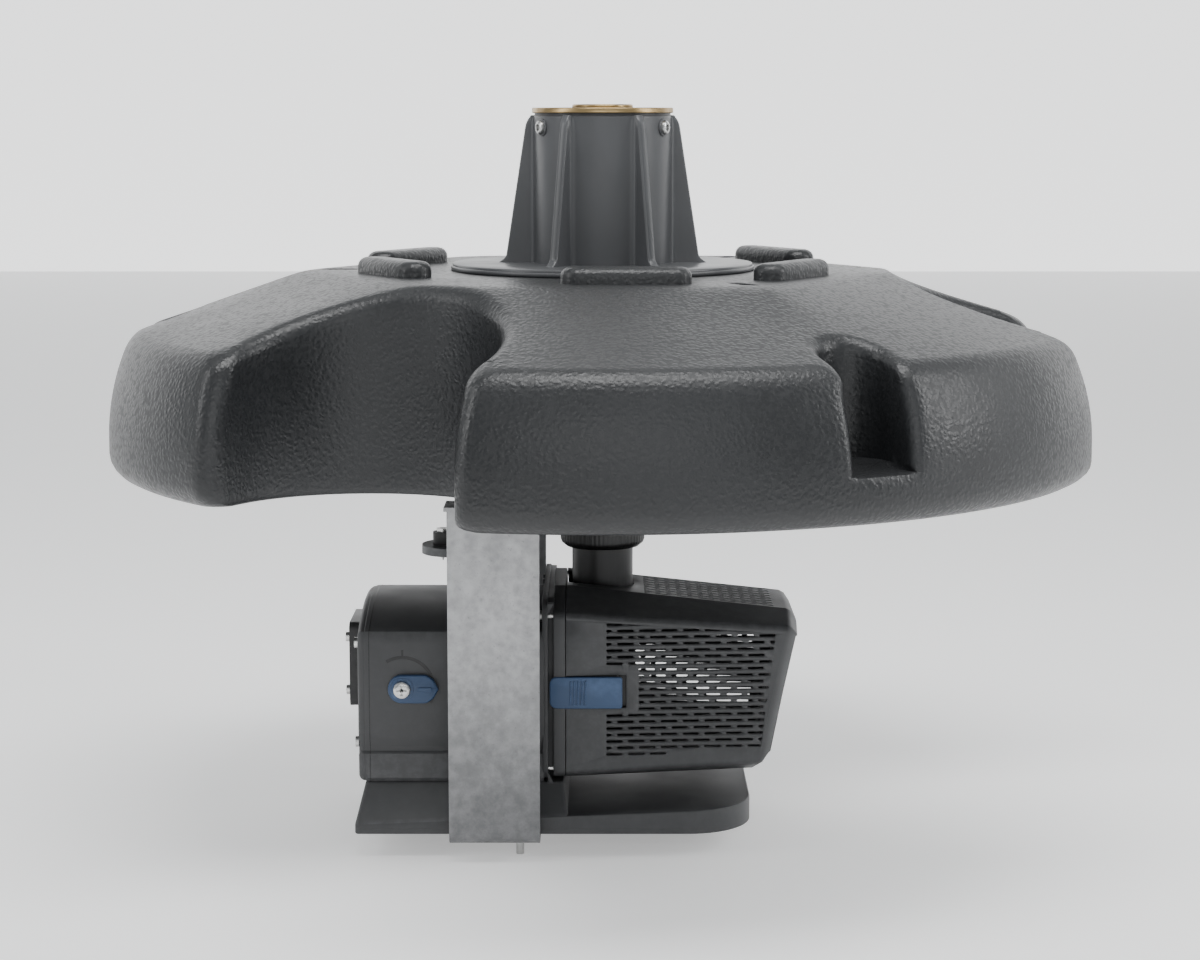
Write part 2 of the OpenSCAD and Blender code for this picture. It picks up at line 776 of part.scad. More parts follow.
module foot_plate() color([0.1, 0.1, 0.105]) difference() {
    skirt_top = pump_z - motor_half_h;
    union() {
        translate([0, 0, foot_z0]) linear_extrude(foot_t) foot_plan(foot_x0, 0);
        foot_skirt(0, skirt_top);
        foot_tongue(0);
    }
    // Hollow underside, open below, with a web left over the strap
    difference() {
        union() {
            foot_skirt(foot_wall, skirt_top - foot_wall);
            foot_tongue(foot_wall);
            translate([0, 0, foot_z0 - over]) linear_extrude(foot_t + over)
                foot_plan(foot_x0 + foot_wall, foot_wall);
        }
        translate([strap_x - strap_w / 2, -foot_half_w, foot_z0 - over])
            cube([strap_w, 2 * foot_half_w, foot_t + over]);
    }
    foot_bolt_places() translate([0, 0, foot_z0 - over])
        cylinder(h = foot_t + 2 * over, r = foot_bolt_r + fit);
}

foot_head_h = 4;
foot_bolt_tail = 15;
module foot_bolts() color([0.72, 0.72, 0.73]) foot_bolt_places() {
    translate([0, 0, strap_z0 - foot_bolt_tail])
        cylinder(h = foot_bolt_tail + strap_t + foot_t, r = foot_bolt_r);
    translate([0, 0, foot_z0 + foot_t]) cylinder(h = foot_head_h, r = foot_nut_r);
}

module foot_nuts() color([0.7, 0.7, 0.71]) foot_bolt_places()
    translate([0, 0, strap_z0 - foot_nut_h]) difference() {
        cylinder(h = foot_nut_h, r = foot_nut_r, $fn = 6);
        translate([0, 0, -over]) cylinder(h = foot_nut_h + 2 * over, r = foot_bolt_r + fit);
    }

// Motor housing

crown_span = motor_half_w - motor_corner / 3;
crown_r = (pow(crown_span, 2) + pow(crown_fall, 2)) / (2 * crown_fall);
screw_in = 10;
ear_in = 6;
ear_y = motor_half_w - screw_in;
ear_z = motor_half_h - ear_in;
ear_flange_t = 4;
ear_flange_rise = 3;
ear_flange_half_h = motor_half_h + ear_flange_rise;
carrier_screw_r = 2.2;
carrier_screw_head_r = 4;
ear_recess_l = 12;
head_room = 0.6;
ear_recess_r = carrier_screw_head_r + head_room;
ear_recess_wall = 3;
boss_y = motor_half_w - screw_in;
boss_z = 37;
boss_r = 7.5;
boss_l = 24;
sleeve_r = 45.1;
sleeve_wall = 3;
sleeve_in_left = 34;
sleeve_in_right = 10;
sleeve_x0 = motor_x0 + sleeve_in_left;
sleeve_x1 = motor_x1 - sleeve_in_right;
box_y = -23;
box_up = 15.5;
gland_x = -146;
gland_thread_r = 8;
gland_y = motor_half_w;
selector_boss_r = 8;
selector_boss_l = 12;
selector_shank_r = 3;
wire_hole_r = 8;

// The motor's section: a round-cornered box under a shallow crown
module motor_section(inset) {
    intersection() {
        round_rect(2 * (motor_half_w - inset), 2 * (motor_half_h - inset), motor_corner - inset);
        translate([0, motor_half_h - crown_r]) circle(r = crown_r - inset, $fn = 2 * round_fn);
    }
}

// Section of the flange with ears at the motor's right end
module ear_section() {
    round_rect(2 * (motor_half_w - 2 * over), 2 * ear_flange_half_h, motor_corner);
}

module motor_housing() color([0.1, 0.1, 0.105]) difference() {
    union() {
        difference() {
            union() {
                along_x(motor_x0, motor_x1) motor_section(0);
                along_x(motor_x1 - ear_flange_t, motor_x1) ear_section();
            }
            along_x(motor_x0 - over, motor_x1 + over) motor_section(motor_wall);
        }
        intersection() {
            four_corners(boss_y, boss_z) rod_x(motor_x0, motor_x0 + boss_l, boss_r);
            along_x(motor_x0, motor_x1) motor_section(0);
        }
        // Pockets in which the ears' screw heads lie
        intersection() {
            four_corners(ear_y, ear_z) rod_x(motor_x1 - ear_flange_t - ear_recess_l - ear_recess_wall,
                motor_x1 - ear_flange_t, ear_recess_r + ear_recess_wall);
            along_x(motor_x0, motor_x1) motor_section(0);
        }
        on_axis() tube_x(sleeve_x0, sleeve_x1, sleeve_r + sleeve_wall, sleeve_r);
        // Four webs carry the sleeve
        for (side = [-1, 1]) {
            translate([sleeve_x0, -sleeve_wall / 2, pump_z + side * (sleeve_r + motor_half_h) / 2
                - (motor_half_h - sleeve_r) / 2 + sleeve_wall / 2])
                cube([sleeve_x1 - sleeve_x0, sleeve_wall, motor_half_h - sleeve_r - sleeve_wall]);
            translate([sleeve_x0, side * (sleeve_r + motor_half_w) / 2
                - (motor_half_w - sleeve_r - sleeve_wall) / 2, pump_z - sleeve_wall / 2])
                cube([sleeve_x1 - sleeve_x0, motor_half_w - sleeve_r - sleeve_wall, sleeve_wall]);
        }
        translate([selector_x, 0, pump_z + selector_up])
            rod_y(-motor_half_w, -motor_half_w + selector_boss_l, selector_boss_r);
    }
    four_corners(boss_y, boss_z) rod_x(motor_x0 - over, motor_x0 + boss_l - over, cover_screw_r + fit);
    four_corners(ear_y, ear_z)
        rod_x(motor_x1 - ear_flange_t - over, motor_x1 + over, carrier_screw_r + fit);
    four_corners(ear_y, ear_z)
        rod_x(motor_x1 - ear_flange_t - ear_recess_l, motor_x1 - ear_flange_t, ear_recess_r);
    translate([selector_x, 0, pump_z + selector_up])
        rod_y(-motor_half_w - over, -motor_half_w + selector_boss_l - motor_wall,
            selector_shank_r + fit);
    translate([gland_x, 0, pump_z]) rod_y(0, motor_half_w + over, gland_thread_r + fit);
}

// Rear cover

cover_screw_r = 2.2;
cover_head_r = 4;
cover_head_t = 2.5;
cover_step = 3;
spigot_l = 5;
module rear_cover() color([0.1, 0.1, 0.105]) difference() {
    union() {
        along_x(cover_x0 + cover_t / 2, motor_x0) motor_section(0);
        along_x(cover_x0, cover_x0 + cover_t / 2) motor_section(cover_step);
        difference() {
            along_x(motor_x0, motor_x0 + spigot_l) motor_section(motor_wall + fit);
            along_x(motor_x0, motor_x0 + spigot_l + over) motor_section(2 * motor_wall);
            four_corners(boss_y, boss_z)
                rod_x(motor_x0, motor_x0 + spigot_l + over, boss_r + seat_gap);
        }
    }
    four_corners(boss_y, boss_z) rod_x(cover_x0 - over, motor_x0 + over, cover_screw_r + fit);
    box_screw_places() rod_x(cover_x0 - over, motor_x0 + over, box_screw_r + fit);
    translate([0, box_y, pump_z + box_up]) rod_x(cover_x0 - over, motor_x0 + over, wire_hole_r);
}

module rear_cover_screws() color([0.55, 0.55, 0.56]) four_corners(boss_y, boss_z) {
    rod_x(cover_x0 - cover_head_t, cover_x0, cover_head_r);
    rod_x(cover_x0, motor_x0 + boss_l - 2 * over, cover_screw_r);
}

// Terminal box on the rear cover

box_wall = 2.5;
box_corner = 6;
box_gasket_t = 1;
box_screw_r = 1.8;
box_screw_y = 23.5;
box_screw_z = 20;
box_head_r = 3.6;
box_head_t = 3;
box_x1 = cover_x0 - box_gasket_t;
box_x0 = box_x1 - box_t;
box_pillar_r = 5.5;

module box_screw_places() {
    for (sy = [-1, 1], sz = [-1, 1])
        translate([0, box_y + sy * box_screw_y, pump_z + box_up + sz * box_screw_z]) children();
}

module box_section(inset) {
    translate([box_y, box_up])
        round_rect(box_w - 2 * inset, box_h - 2 * inset, box_corner - inset);
}

module terminal_box() color([0.13, 0.13, 0.14]) difference() {
    union() {
        difference() {
            along_x(box_x0, box_x1) box_section(0);
            along_x(box_x0 + box_wall, box_x1 + over) box_section(box_wall);
        }
        intersection() {
            box_screw_places() rod_x(box_x0, box_x1, box_pillar_r);
            along_x(box_x0, box_x1) box_section(0);
        }
    }
    box_screw_places() rod_x(box_x0 - over, box_x1 + over, box_screw_r + fit);
}

module terminal_box_gasket() color([0.05, 0.05, 0.05]) difference() {
    along_x(box_x1, cover_x0) box_section(0);
    along_x(box_x1 - over, cover_x0 + over) box_section(box_wall);
}

module terminal_box_screws() color([0.6, 0.6, 0.61]) box_screw_places() {
    rod_x(box_x0 - box_head_t, box_x0, box_head_r);
    rod_x(box_x0, motor_x0, box_screw_r);
}

// Screw terminals seated on the rear cover, above the wire hole
block_w = 26;
block_h = 10;
block_t = 5.5;
block_up = 9;
block_ways = 3;
block_bore = 2;
module terminal_block() color([0.85, 0.84, 0.8]) {
    x0 = cover_x0 - block_t;
    z0 = pump_z + box_up + block_up;
    difference() {
        translate([x0, box_y - block_w / 2, z0]) cube([block_t, block_w, block_h]);
        for (k = [0:block_ways - 1])
            translate([0, box_y + (k - (block_ways - 1) / 2) * block_w / block_ways, z0 + block_h / 2])
                rod_x(x0 - over, x0 + block_t / 2, block_bore);
    }
}

// Cable gland on the housing's far side

gland_flange_t = 6;
gland_flange_r = 12;
gland_thread_l = 15;
gland_nut_l = 20;
gland_seal_l = 12;
gland_seal_t = 2;
gland_y1 = gland_y + gland_flange_t + gland_thread_l;
module at_gland() {
    translate([gland_x, 0, pump_z]) children();
}

module gland_body() color([0.06, 0.06, 0.065]) at_gland() difference() {
    union() {
        rod_y(gland_y - 2 * motor_wall, gland_y1, gland_thread_r);
        translate([0, gland_y, 0]) rotate([-quarter_turn, 0, 0])
            cylinder(h = gland_flange_t, r = gland_flange_r, $fn = 6);
    }
    rod_y(gland_y - 2 * motor_wall - over, gland_y1 + over, gland_bore + seat_gap);
    rod_y(gland_y1 - gland_seal_l, gland_y1 + over, gland_bore + gland_seal_t + fit);
}

module gland_seal() color([0.15, 0.15, 0.15]) at_gland() difference() {
    rod_y(gland_y1 - gland_seal_l, gland_y1, gland_bore + gland_seal_t);
    rod_y(gland_y1 - gland_seal_l - over, gland_y1 + over, gland_bore);
}

module gland_nut() color([0.06, 0.06, 0.065]) at_gland() {
    y0 = gland_y + gland_flange_t + seat_gap;
    difference() {
        rod_y(y0, y0 + gland_nut_l, gland_r);
        rod_y(y0 - over, gland_y1 + fit, gland_thread_r + fit);
        rod_y(y0, y0 + gland_nut_l + over, gland_bore + seat_gap);
    }
}

// Selector on the housing's near side

selector_face = -motor_half_w - seat_gap;
selector_head_r = 6.6;
selector_head_t = 2.8;
selector_nub = 2.5;
selector_tip_share = 0.8;
selector_tip_r = selector_tip_share * selector_r;
selector_magnet_r = 4;
selector_magnet_t = 2.5;
module at_selector() {
    translate([selector_x, 0, pump_z + selector_up]) children();
}

// Outline of the lever in X and Z: a round end, a straight stretch and a pointed end
module selector_outline() {
    tip_x = selector_reach - selector_nub - selector_tip_r;
    circle(r = selector_r);
    polygon([[0, -selector_r], [tip_x, -selector_tip_r], [tip_x, selector_tip_r], [0, selector_r]]);
    translate([tip_x, 0]) circle(r = selector_tip_r);
    polygon([[selector_reach - 2 * selector_nub, -selector_nub], [selector_reach, 0],
        [selector_reach - 2 * selector_nub, selector_nub]]);
}

module selector_lever() color([0.07, 0.2, 0.42]) at_selector() difference() {
    translate([0, selector_face, 0]) rotate([quarter_turn, 0, 0])
        linear_extrude(selector_t) selector_outline();
    rod_y(selector_face - selector_t - over, selector_face + over, selector_shank_r + run);
    translate([selector_reach / 2, 0, 0])
        rod_y(selector_face - selector_magnet_t, selector_face + over, selector_magnet_r + run);
}

module selector_magnet() color([0.5, 0.5, 0.52]) at_selector() translate([selector_reach / 2, 0, 0])
    rod_y(selector_face - selector_magnet_t, selector_face, selector_magnet_r);

module selector_screw() color([0.8, 0.8, 0.81]) at_selector() {
    y0 = selector_face - selector_t - seat_gap;
    rod_y(y0 - selector_head_t, y0, selector_head_r);
    rod_y(y0, -motor_half_w + selector_boss_l - 2 * motor_wall, selector_shank_r);
}

// Motor parts inside

can_wall = 1;
air_gap = 1;
can_r = magnet_r + air_gap + can_wall;
can_in = 26;
can_x0 = motor_x0 + can_in;
can_floor = 2;
can_flange_t = 3;
can_flange_in = 1.2;
can_flange_r = chamber_r - can_flange_in;
socket_r = 7;
socket_l = 6;
magnet_gap = 4;
magnet_in = 12;
magnet_x0 = can_x0 + can_floor + socket_l + magnet_gap;
magnet_x1 = motor_x1 - magnet_in;
bush_r = 7.5;
bush_l = 14;
tooth_count = 6;
tooth_w = 10;
yoke_t = 7;
stator_in = 8;
stator_x0 = sleeve_x0 + stator_in;
stator_x1 = sleeve_x1 - stator_in;
coil_t = 6;
coil_gap = 5;
coil_r0 = can_r + coil_gap;
coil_r1 = sqrt(pow(sleeve_r - yoke_t - fit, 2) - pow(tooth_w / 2 + coil_t, 2)) - fit;
end_turn = 6.5;

module stator_core() color([0.45, 0.46, 0.48]) along_x(stator_x0, stator_x1) {
    difference() {
        circle(r = sleeve_r - fit);
        circle(r = sleeve_r - yoke_t);
    }
    difference() {
        for (k = [0:tooth_count - 1]) rotate(full_turn / tooth_count * k + quarter_turn)
            translate([0, -tooth_w / 2]) square([sleeve_r - yoke_t / 2, tooth_w]);
        circle(r = can_r + fit);
    }
}

module stator_coils() color([0.7, 0.35, 0.15]) on_axis() {
    for (k = [0:tooth_count - 1]) rotate([full_turn / tooth_count * k, 0, 0]) difference() {
        translate([stator_x0 - end_turn, -tooth_w / 2 - coil_t, coil_r0])
            cube([stator_x1 - stator_x0 + 2 * end_turn, tooth_w + 2 * coil_t, coil_r1 - coil_r0]);
        translate([stator_x0 - fit, -tooth_w / 2 - fit, coil_r0 - over])
            cube([stator_x1 - stator_x0 + 2 * fit, tooth_w + 2 * fit, coil_r1 - coil_r0 + 2 * over]);
    }
}

module rotor_can() color([0.75, 0.76, 0.78]) on_axis() {
    difference() {
        union() {
            rod_x(can_x0, carrier_x1, can_r);
            rod_x(carrier_x1 - can_flange_t, carrier_x1, can_flange_r);
        }
        rod_x(can_x0 + can_floor, carrier_x1 + over, can_r - can_wall);
    }
    difference() {
        rod_x(can_x0, can_x0 + can_floor + socket_l, socket_r);
        rod_x(can_x0 + can_floor, can_x0 + can_floor + socket_l + over, shaft_r + fit);
    }
}

// Fixed ceramic shaft between the can's socket and the chamber's spider
module motor_shaft() color([0.9, 0.9, 0.88]) on_axis()
    rod_x(can_x0 + can_floor, chamber_x1 - shaft_cap - fit, shaft_r);

module rotor_magnet() color([0.2, 0.2, 0.22]) on_axis()
    tube_x(magnet_x0, magnet_x1, magnet_r, bush_r + fit);

module rotor_bushes() color([0.25, 0.25, 0.25]) on_axis() {
    tube_x(magnet_x0, magnet_x0 + bush_l, bush_r, shaft_r + run);
    tube_x(magnet_x1 - bush_l, magnet_x1, bush_r, shaft_r + run);
}

// Impeller on the rotor's end, its blades leaning back from the inlet eye
hub_gap = 0.5;
impeller_hub_r = 9;
impeller_gap = 12;
impeller_x0 = carrier_x1 + impeller_gap;
impeller_disc_t = 2.5;
blade_w = 20;
blade_t = 2.4;
blade_lean = 55;
blade_in = 1;
module impeller() color([0.8, 0.8, 0.78]) on_axis() {
    blade_x1 = impeller_x0 + impeller_disc_t + blade_w;
    difference() {
        union() {
            rod_x(magnet_x1, blade_x1 + blade_in, impeller_hub_r);
            rod_x(impeller_x0, impeller_x0 + impeller_disc_t, impeller_r);
            intersection() {
                for (k = [0:blade_count - 1]) rotate([full_turn / blade_count * k, 0, 0])
                    translate([0, 0, impeller_hub_r - blade_t]) rotate([blade_lean - quarter_turn, 0, 0])
                        translate([impeller_x0 + impeller_disc_t / 2, -blade_t / 2, 0])
                            cube([blade_w + impeller_disc_t / 2, blade_t, 2 * impeller_r]);
                rod_x(impeller_x0, blade_x1 + over, impeller_r - blade_in);
            }
        }
        rod_x(magnet_x1 - over, blade_x1 + blade_in + over, shaft_r + hub_gap);
    }
}

// Carrier plate and pump chamber

carrier_neck_in = 8;
carrier_neck_low = 1.5;
latch_up = 1.5;
latch_play = 0.6;
latch_band = latch_w + 2 * latch_play;
latch_pin_in = 3;
latch_y = motor_half_w - latch_pin_in;
chamber_screw_out = 6;
screw_dist = chamber_r + chamber_screw_out;
chamber_screw_r = 2.2;
chamber_screw_head_r = 4;
chamber_ear_r = 7;
chamber_ear_t = 8;
chamber_wall = 5;
chamber_front_t = 3.5;
seal_groove_in = 3.8;
seal_w = 2.3;
seal_t = 2;
spider_arms = 3;
spider_t = 4;
spider_hub_r = 8;
spider_hub_l = 8;
shaft_cap = 1.5;
neck_over_eye = 4;
neck_z0 = pump_z + eye_r + neck_over_eye;

module chamber_screw_places() {
    on_axis() for (k = [0:3]) rotate([quarter_turn * k + quarter_turn / 2, 0, 0])
        translate([0, screw_dist, 0]) children();
}

// Section shared by the carrier's rim and the cage's open end
function cage_points(half_w, half_h) = [[-cage_flat, half_h], [-half_w, half_h - cage_shoulder],
    [-half_w, -half_h + cage_shoulder], [-cage_flat, -half_h], [cage_flat, -half_h],
    [half_w, -half_h + cage_shoulder], [half_w, half_h - cage_shoulder], [cage_flat, half_h]];

module carrier_plate() color([0.1, 0.1, 0.105]) difference() {
    union() {
        along_x(motor_x1, carrier_x1 - rim_t)
            round_rect(2 * (motor_half_w - carrier_neck_in), 2 * (motor_half_h - carrier_neck_low),
                motor_corner);
        along_x(carrier_x1 - rim_t, carrier_x1) polygon(cage_points(cage_half_w, cage_half_h));
    }
    on_axis() rod_x(motor_x1 - over, carrier_x1 + over, can_r + fit);
    on_axis() rod_x(carrier_x1 - can_flange_t, carrier_x1 + over, can_flange_r + fit);
    chamber_screw_places() rod_x(carrier_x1 - rim_t, carrier_x1 + over, chamber_screw_r + fit);
    four_corners(ear_y, ear_z) rod_x(motor_x1 - over, carrier_x1 - over, carrier_screw_r + fit);
    // The latches lie in two notches of the rim
    for (side = [-1, 1]) translate([carrier_x1 - rim_t - over,
        side * (latch_y - seat_gap + float_r / 2) - float_r / 2, pump_z + latch_up - latch_band / 2])
        cube([rim_t + 2 * over, float_r, latch_band]);
}

module carrier_screws() color([0.75, 0.75, 0.76]) four_corners(ear_y, ear_z) {
    x0 = motor_x1 - ear_flange_t;
    rod_x(x0 - cover_head_t, x0, carrier_screw_head_r);
    rod_x(x0, carrier_x1 - 2 * over, carrier_screw_r);
}

module chamber_seal() color([0.05, 0.05, 0.05]) on_axis()
    tube_x(carrier_x1, carrier_x1 + seal_t, chamber_r - seal_groove_in + seal_w,
        chamber_r - seal_groove_in);

module pump_chamber() color([0.09, 0.09, 0.095]) difference() {
    front_x = chamber_x1 - chamber_front_t;
    union() {
        difference() {
            union() {
                on_axis() rod_x(carrier_x1, chamber_x1, chamber_r);
                chamber_screw_places() rod_x(carrier_x1 + seat_gap, carrier_x1 + chamber_ear_t,
                    chamber_ear_r);
                translate([0, 0, neck_z0]) cylinder(h = neck_top_z - neck_z0, r = neck_r);
            }
            on_axis() rod_x(carrier_x1 - over, front_x, chamber_r - chamber_wall);
        }
        // Boss behind the spider's hub
        on_axis() rod_x(chamber_x1 - spider_hub_l, front_x + over, spider_hub_r - over);
    }
    on_axis() tube_x(carrier_x1 - over, carrier_x1 + seal_t, chamber_r - seal_groove_in + seal_w + fit,
        chamber_r - seal_groove_in - fit);
    // Inlet eye, crossed by the arms that carry the shaft's hub
    on_axis() difference() {
        tube_x(front_x - over, chamber_x1 + over, eye_r, spider_hub_r);
        for (k = [0:spider_arms - 1]) rotate([full_turn / spider_arms * k, 0, 0])
            translate([front_x - 2 * over, -spider_t / 2, 0])
                cube([chamber_front_t + 4 * over, spider_t, eye_r + over]);
    }
    on_axis() rod_x(chamber_x1 - spider_hub_l - over, chamber_x1 - shaft_cap, shaft_r + fit);
    chamber_screw_places() rod_x(carrier_x1 - over, carrier_x1 + chamber_ear_t + over,
        chamber_screw_r + fit);
    translate([0, 0, neck_z0 + over]) cylinder(h = pipe_z0 - neck_z0, r = pipe_bore);
    translate([0, 0, pipe_z0]) cylinder(h = pipe_insert + over, r = pipe_r + fit);
}

module chamber_screws() color([0.75, 0.75, 0.76]) chamber_screw_places() {
    x1 = carrier_x1 + chamber_ear_t;
    rod_x(x1, x1 + cover_head_t, chamber_screw_head_r);
    rod_x(carrier_x1 - rim_t + over, x1, chamber_screw_r);
}

// Strainer cage

pocket_wall = 3;
pocket_room = 2.7;
pocket_end = latch_t + pocket_room;
slot_field_x0 = 2;
slot_field_mid_x0 = 26;
slot_field_h = 96;
slot_gap = 7;
end_margin = 14;
top_rows = 4;
riser_gap = 1.5;

// A thin slice of the cage, leaning with its end
module cage_slice(x, half_w, half_h, lean, drop) {
    translate([x, 0, pump_z - drop]) rotate([0, lean, 0]) rotate([quarter_turn, 0, quarter_turn])
        linear_extrude(thin) polygon(cage_points(half_w, half_h));
}

module cage_form(inset, back) {
    end_w = cage_half_w - cage_taper - inset;
    end_h = cage_half_h - cage_taper - inset;
    hull() {
        cage_slice(cage_x0 - back, cage_half_w - inset, cage_half_h - inset, 0, 0);
        cage_slice(cage_x1 - cage_bevel - inset, end_w, end_h, cage_rake, cage_droop);
        cage_slice(cage_x1 - inset - thin, end_w - cage_bevel, end_h - cage_bevel, cage_rake,
            cage_droop);
    }
}

// One row of slots in X, clear of the latch's pocket and of the leaning end
module slot_row(x0, x1, shift, w) {
    pitch = strainer_slot_l + slot_gap;
    count = floor((x1 - x0 - shift) / pitch);
    for (k = [0:count - 1]) translate([x0 + shift + pitch * k, -w / 2]) square([strainer_slot_l, w]);
}

module cage_side_slots() {
    pitch = slot_field_h / (slot_rows - 1);
    translate([0, cage_half_w + over, pump_z + latch_up]) rotate([quarter_turn, 0, 0])
        linear_extrude(2 * (cage_half_w + over)) for (r = [0:slot_rows - 1]) {
            z = r * pitch - slot_field_h / 2;
            shift = (r % 2) * (strainer_slot_l + slot_gap) / 2;
            beside_latch = abs(z) < latch_band / 2 + strainer_slot_h + pocket_wall;
            x0 = beside_latch ? slot_field_mid_x0 : slot_field_x0;
            x1 = cage_x1 - end_margin + z * tan(cage_rake);
            translate([0, z]) slot_row(x0, x1, shift, strainer_slot_h);
        }
}

module cage_top_slots() {
    pitch = 2 * cage_flat / top_rows;
    translate([0, 0, pump_z]) linear_extrude(cage_half_h + over) for (r = [0:top_rows - 1])
        translate([0, (r - (top_rows - 1) / 2) * pitch]) slot_row(pipe_r + slot_gap + riser_gap,
            cage_x1 - cage_bevel, (r % 2) * strainer_slot_l / 2, strainer_slot_h);
}

module latch_side(side) {
    translate([0, 0, pump_z + latch_up]) mirror([0, side > 0 ? 1 : 0, 0]) children();
}

module strainer_cage() color([0.11, 0.11, 0.115]) difference() {
    floor_y = -latch_y + latch_t + seat_gap;
    union() {
        difference() {
            cage_form(0, 0);
            cage_form(cage_wall, over);
        }
        // Walls of the two latch pockets
        for (side = [-1, 1]) latch_side(side)
            translate([cage_x0, -cage_half_w + cage_wall / 2, -latch_band / 2 - pocket_wall])
                cube([latch_pin_x + pocket_end + pocket_wall - cage_x0,
                    floor_y + pocket_wall + cage_half_w - cage_wall / 2, latch_band + 2 * pocket_wall]);
    }
    for (side = [-1, 1]) latch_side(side) {
        translate([cage_x0 - over, -cage_half_w - over, -latch_band / 2])
            cube([latch_pin_x + pocket_end - cage_x0 + over, floor_y + cage_half_w + over, latch_band]);
        translate([latch_pin_x, -latch_y, -latch_band / 2 - pocket_wall + over])
            cylinder(h = latch_band + 2 * (pocket_wall - over), r = latch_pin_r + fit);
    }
    cage_side_slots();
    cage_top_slots();
    // Opening for the riser, open towards the carrier
    translate([0, 0, pump_z]) cylinder(h = 2 * cage_half_h, r = pipe_r + riser_gap);
    translate([-cage_half_w, -pipe_r - riser_gap, pump_z])
        cube([cage_half_w, 2 * (pipe_r + riser_gap), 2 * cage_half_h]);
}

module latch_pins() color([0.75, 0.75, 0.76]) for (side = [-1, 1]) latch_side(side)
    translate([latch_pin_x, -latch_y, -latch_band / 2 - pocket_wall + over])
        cylinder(h = latch_band + 2 * (pocket_wall - over), r = latch_pin_r);

// One latch: a plate with a round hinge end and a hook behind the carrier's rim
hook_t = 2.6;
hook_l = 3.5;
module latch() difference() {
    hook_x1 = carrier_x1 - rim_t - seat_gap;
    translate([0, 0, -latch_w / 2]) linear_extrude(latch_w) {
        translate([hook_x1 - hook_t, -latch_y - latch_t])
            square([latch_pin_x - hook_x1 + hook_t, latch_t]);
        translate([latch_pin_x, -latch_y]) circle(r = latch_t);
        translate([hook_x1 - hook_t, -latch_y - latch_t]) square([hook_t, latch_t + hook_l]);
    }
    translate([latch_pin_x, -latch_y, -latch_w]) cylinder(h = 2 * latch_w, r = latch_pin_r + run);
}

module latch_front() color([0.07, 0.2, 0.42]) latch_side(-1) latch();

module latch_rear() color([0.07, 0.2, 0.42]) latch_side(1) latch();

float_shell();
vent_plug();
float_inserts();
housing_gasket();
nozzle_housing();
housing_screws();
nozzle_ring();
nozzle_insert();
standpipe();
lock_nut();
union_nut();
union_washer();
discharge_pipe();
support_strap();
strap_pads();
clamp_knobs();
knob_studs();
cable_clamp_base();
cable_clamp_bar();
cable_clamp_screws();
foot_plate();
foot_bolts();
foot_nuts();
motor_housing();
rear_cover();
rear_cover_screws();
terminal_box();
terminal_box_gasket();
terminal_box_screws();
terminal_block();
gland_body();
gland_seal();
gland_nut();
selector_lever();
selector_magnet();
selector_screw();
stator_core();
stator_coils();
rotor_can();
motor_shaft();
rotor_magnet();
rotor_bushes();
impeller();
carrier_plate();
carrier_screws();
chamber_seal();
pump_chamber();
chamber_screws();
strainer_cage();
latch_pins();
latch_front();
latch_rear();
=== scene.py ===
"""Looks of the floating fountain pump: a moulded float with a finned nozzle tower, and the pump under it.

Lengths are in millimetres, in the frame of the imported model, and become metres where a mesh is made.
"""
import json
import math

import bmesh
import bpy
import numpy as np
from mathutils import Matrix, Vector
from mathutils.geometry import delaunay_2d_cdt


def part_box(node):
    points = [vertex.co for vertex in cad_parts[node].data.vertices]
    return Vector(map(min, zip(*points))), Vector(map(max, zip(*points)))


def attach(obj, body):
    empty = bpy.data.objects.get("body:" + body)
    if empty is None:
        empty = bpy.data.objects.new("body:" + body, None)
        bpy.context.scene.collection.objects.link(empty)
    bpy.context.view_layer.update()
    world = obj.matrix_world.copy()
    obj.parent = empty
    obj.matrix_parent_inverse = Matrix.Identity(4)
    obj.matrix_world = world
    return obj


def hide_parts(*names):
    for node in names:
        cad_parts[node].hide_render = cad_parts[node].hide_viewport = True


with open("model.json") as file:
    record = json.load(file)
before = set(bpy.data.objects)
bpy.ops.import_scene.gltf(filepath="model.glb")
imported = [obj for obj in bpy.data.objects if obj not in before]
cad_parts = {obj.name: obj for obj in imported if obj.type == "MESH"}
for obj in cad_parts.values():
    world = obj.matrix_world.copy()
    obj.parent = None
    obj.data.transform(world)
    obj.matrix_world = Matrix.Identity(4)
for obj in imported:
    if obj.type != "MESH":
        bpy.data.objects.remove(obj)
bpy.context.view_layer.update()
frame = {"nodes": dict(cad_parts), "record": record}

MM = 0.001
TURN = 2 * math.pi

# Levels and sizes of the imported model, read from its nodes


def low(node):
    """Lowest corner of a node's box in millimetres."""
    return np.array(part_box(node)[0]) / MM


def high(node):
    """Highest corner of a node's box in millimetres."""
    return np.array(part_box(node)[1]) / MM


FLOAT_Z = low("float_shell")[2]
FLOAT_R = 365.0
PLATEAU_H = 144.2
PUMP_Z = (low("rotor_magnet")[2] + high("rotor_magnet")[2]) / 2

# Shared mesh tools


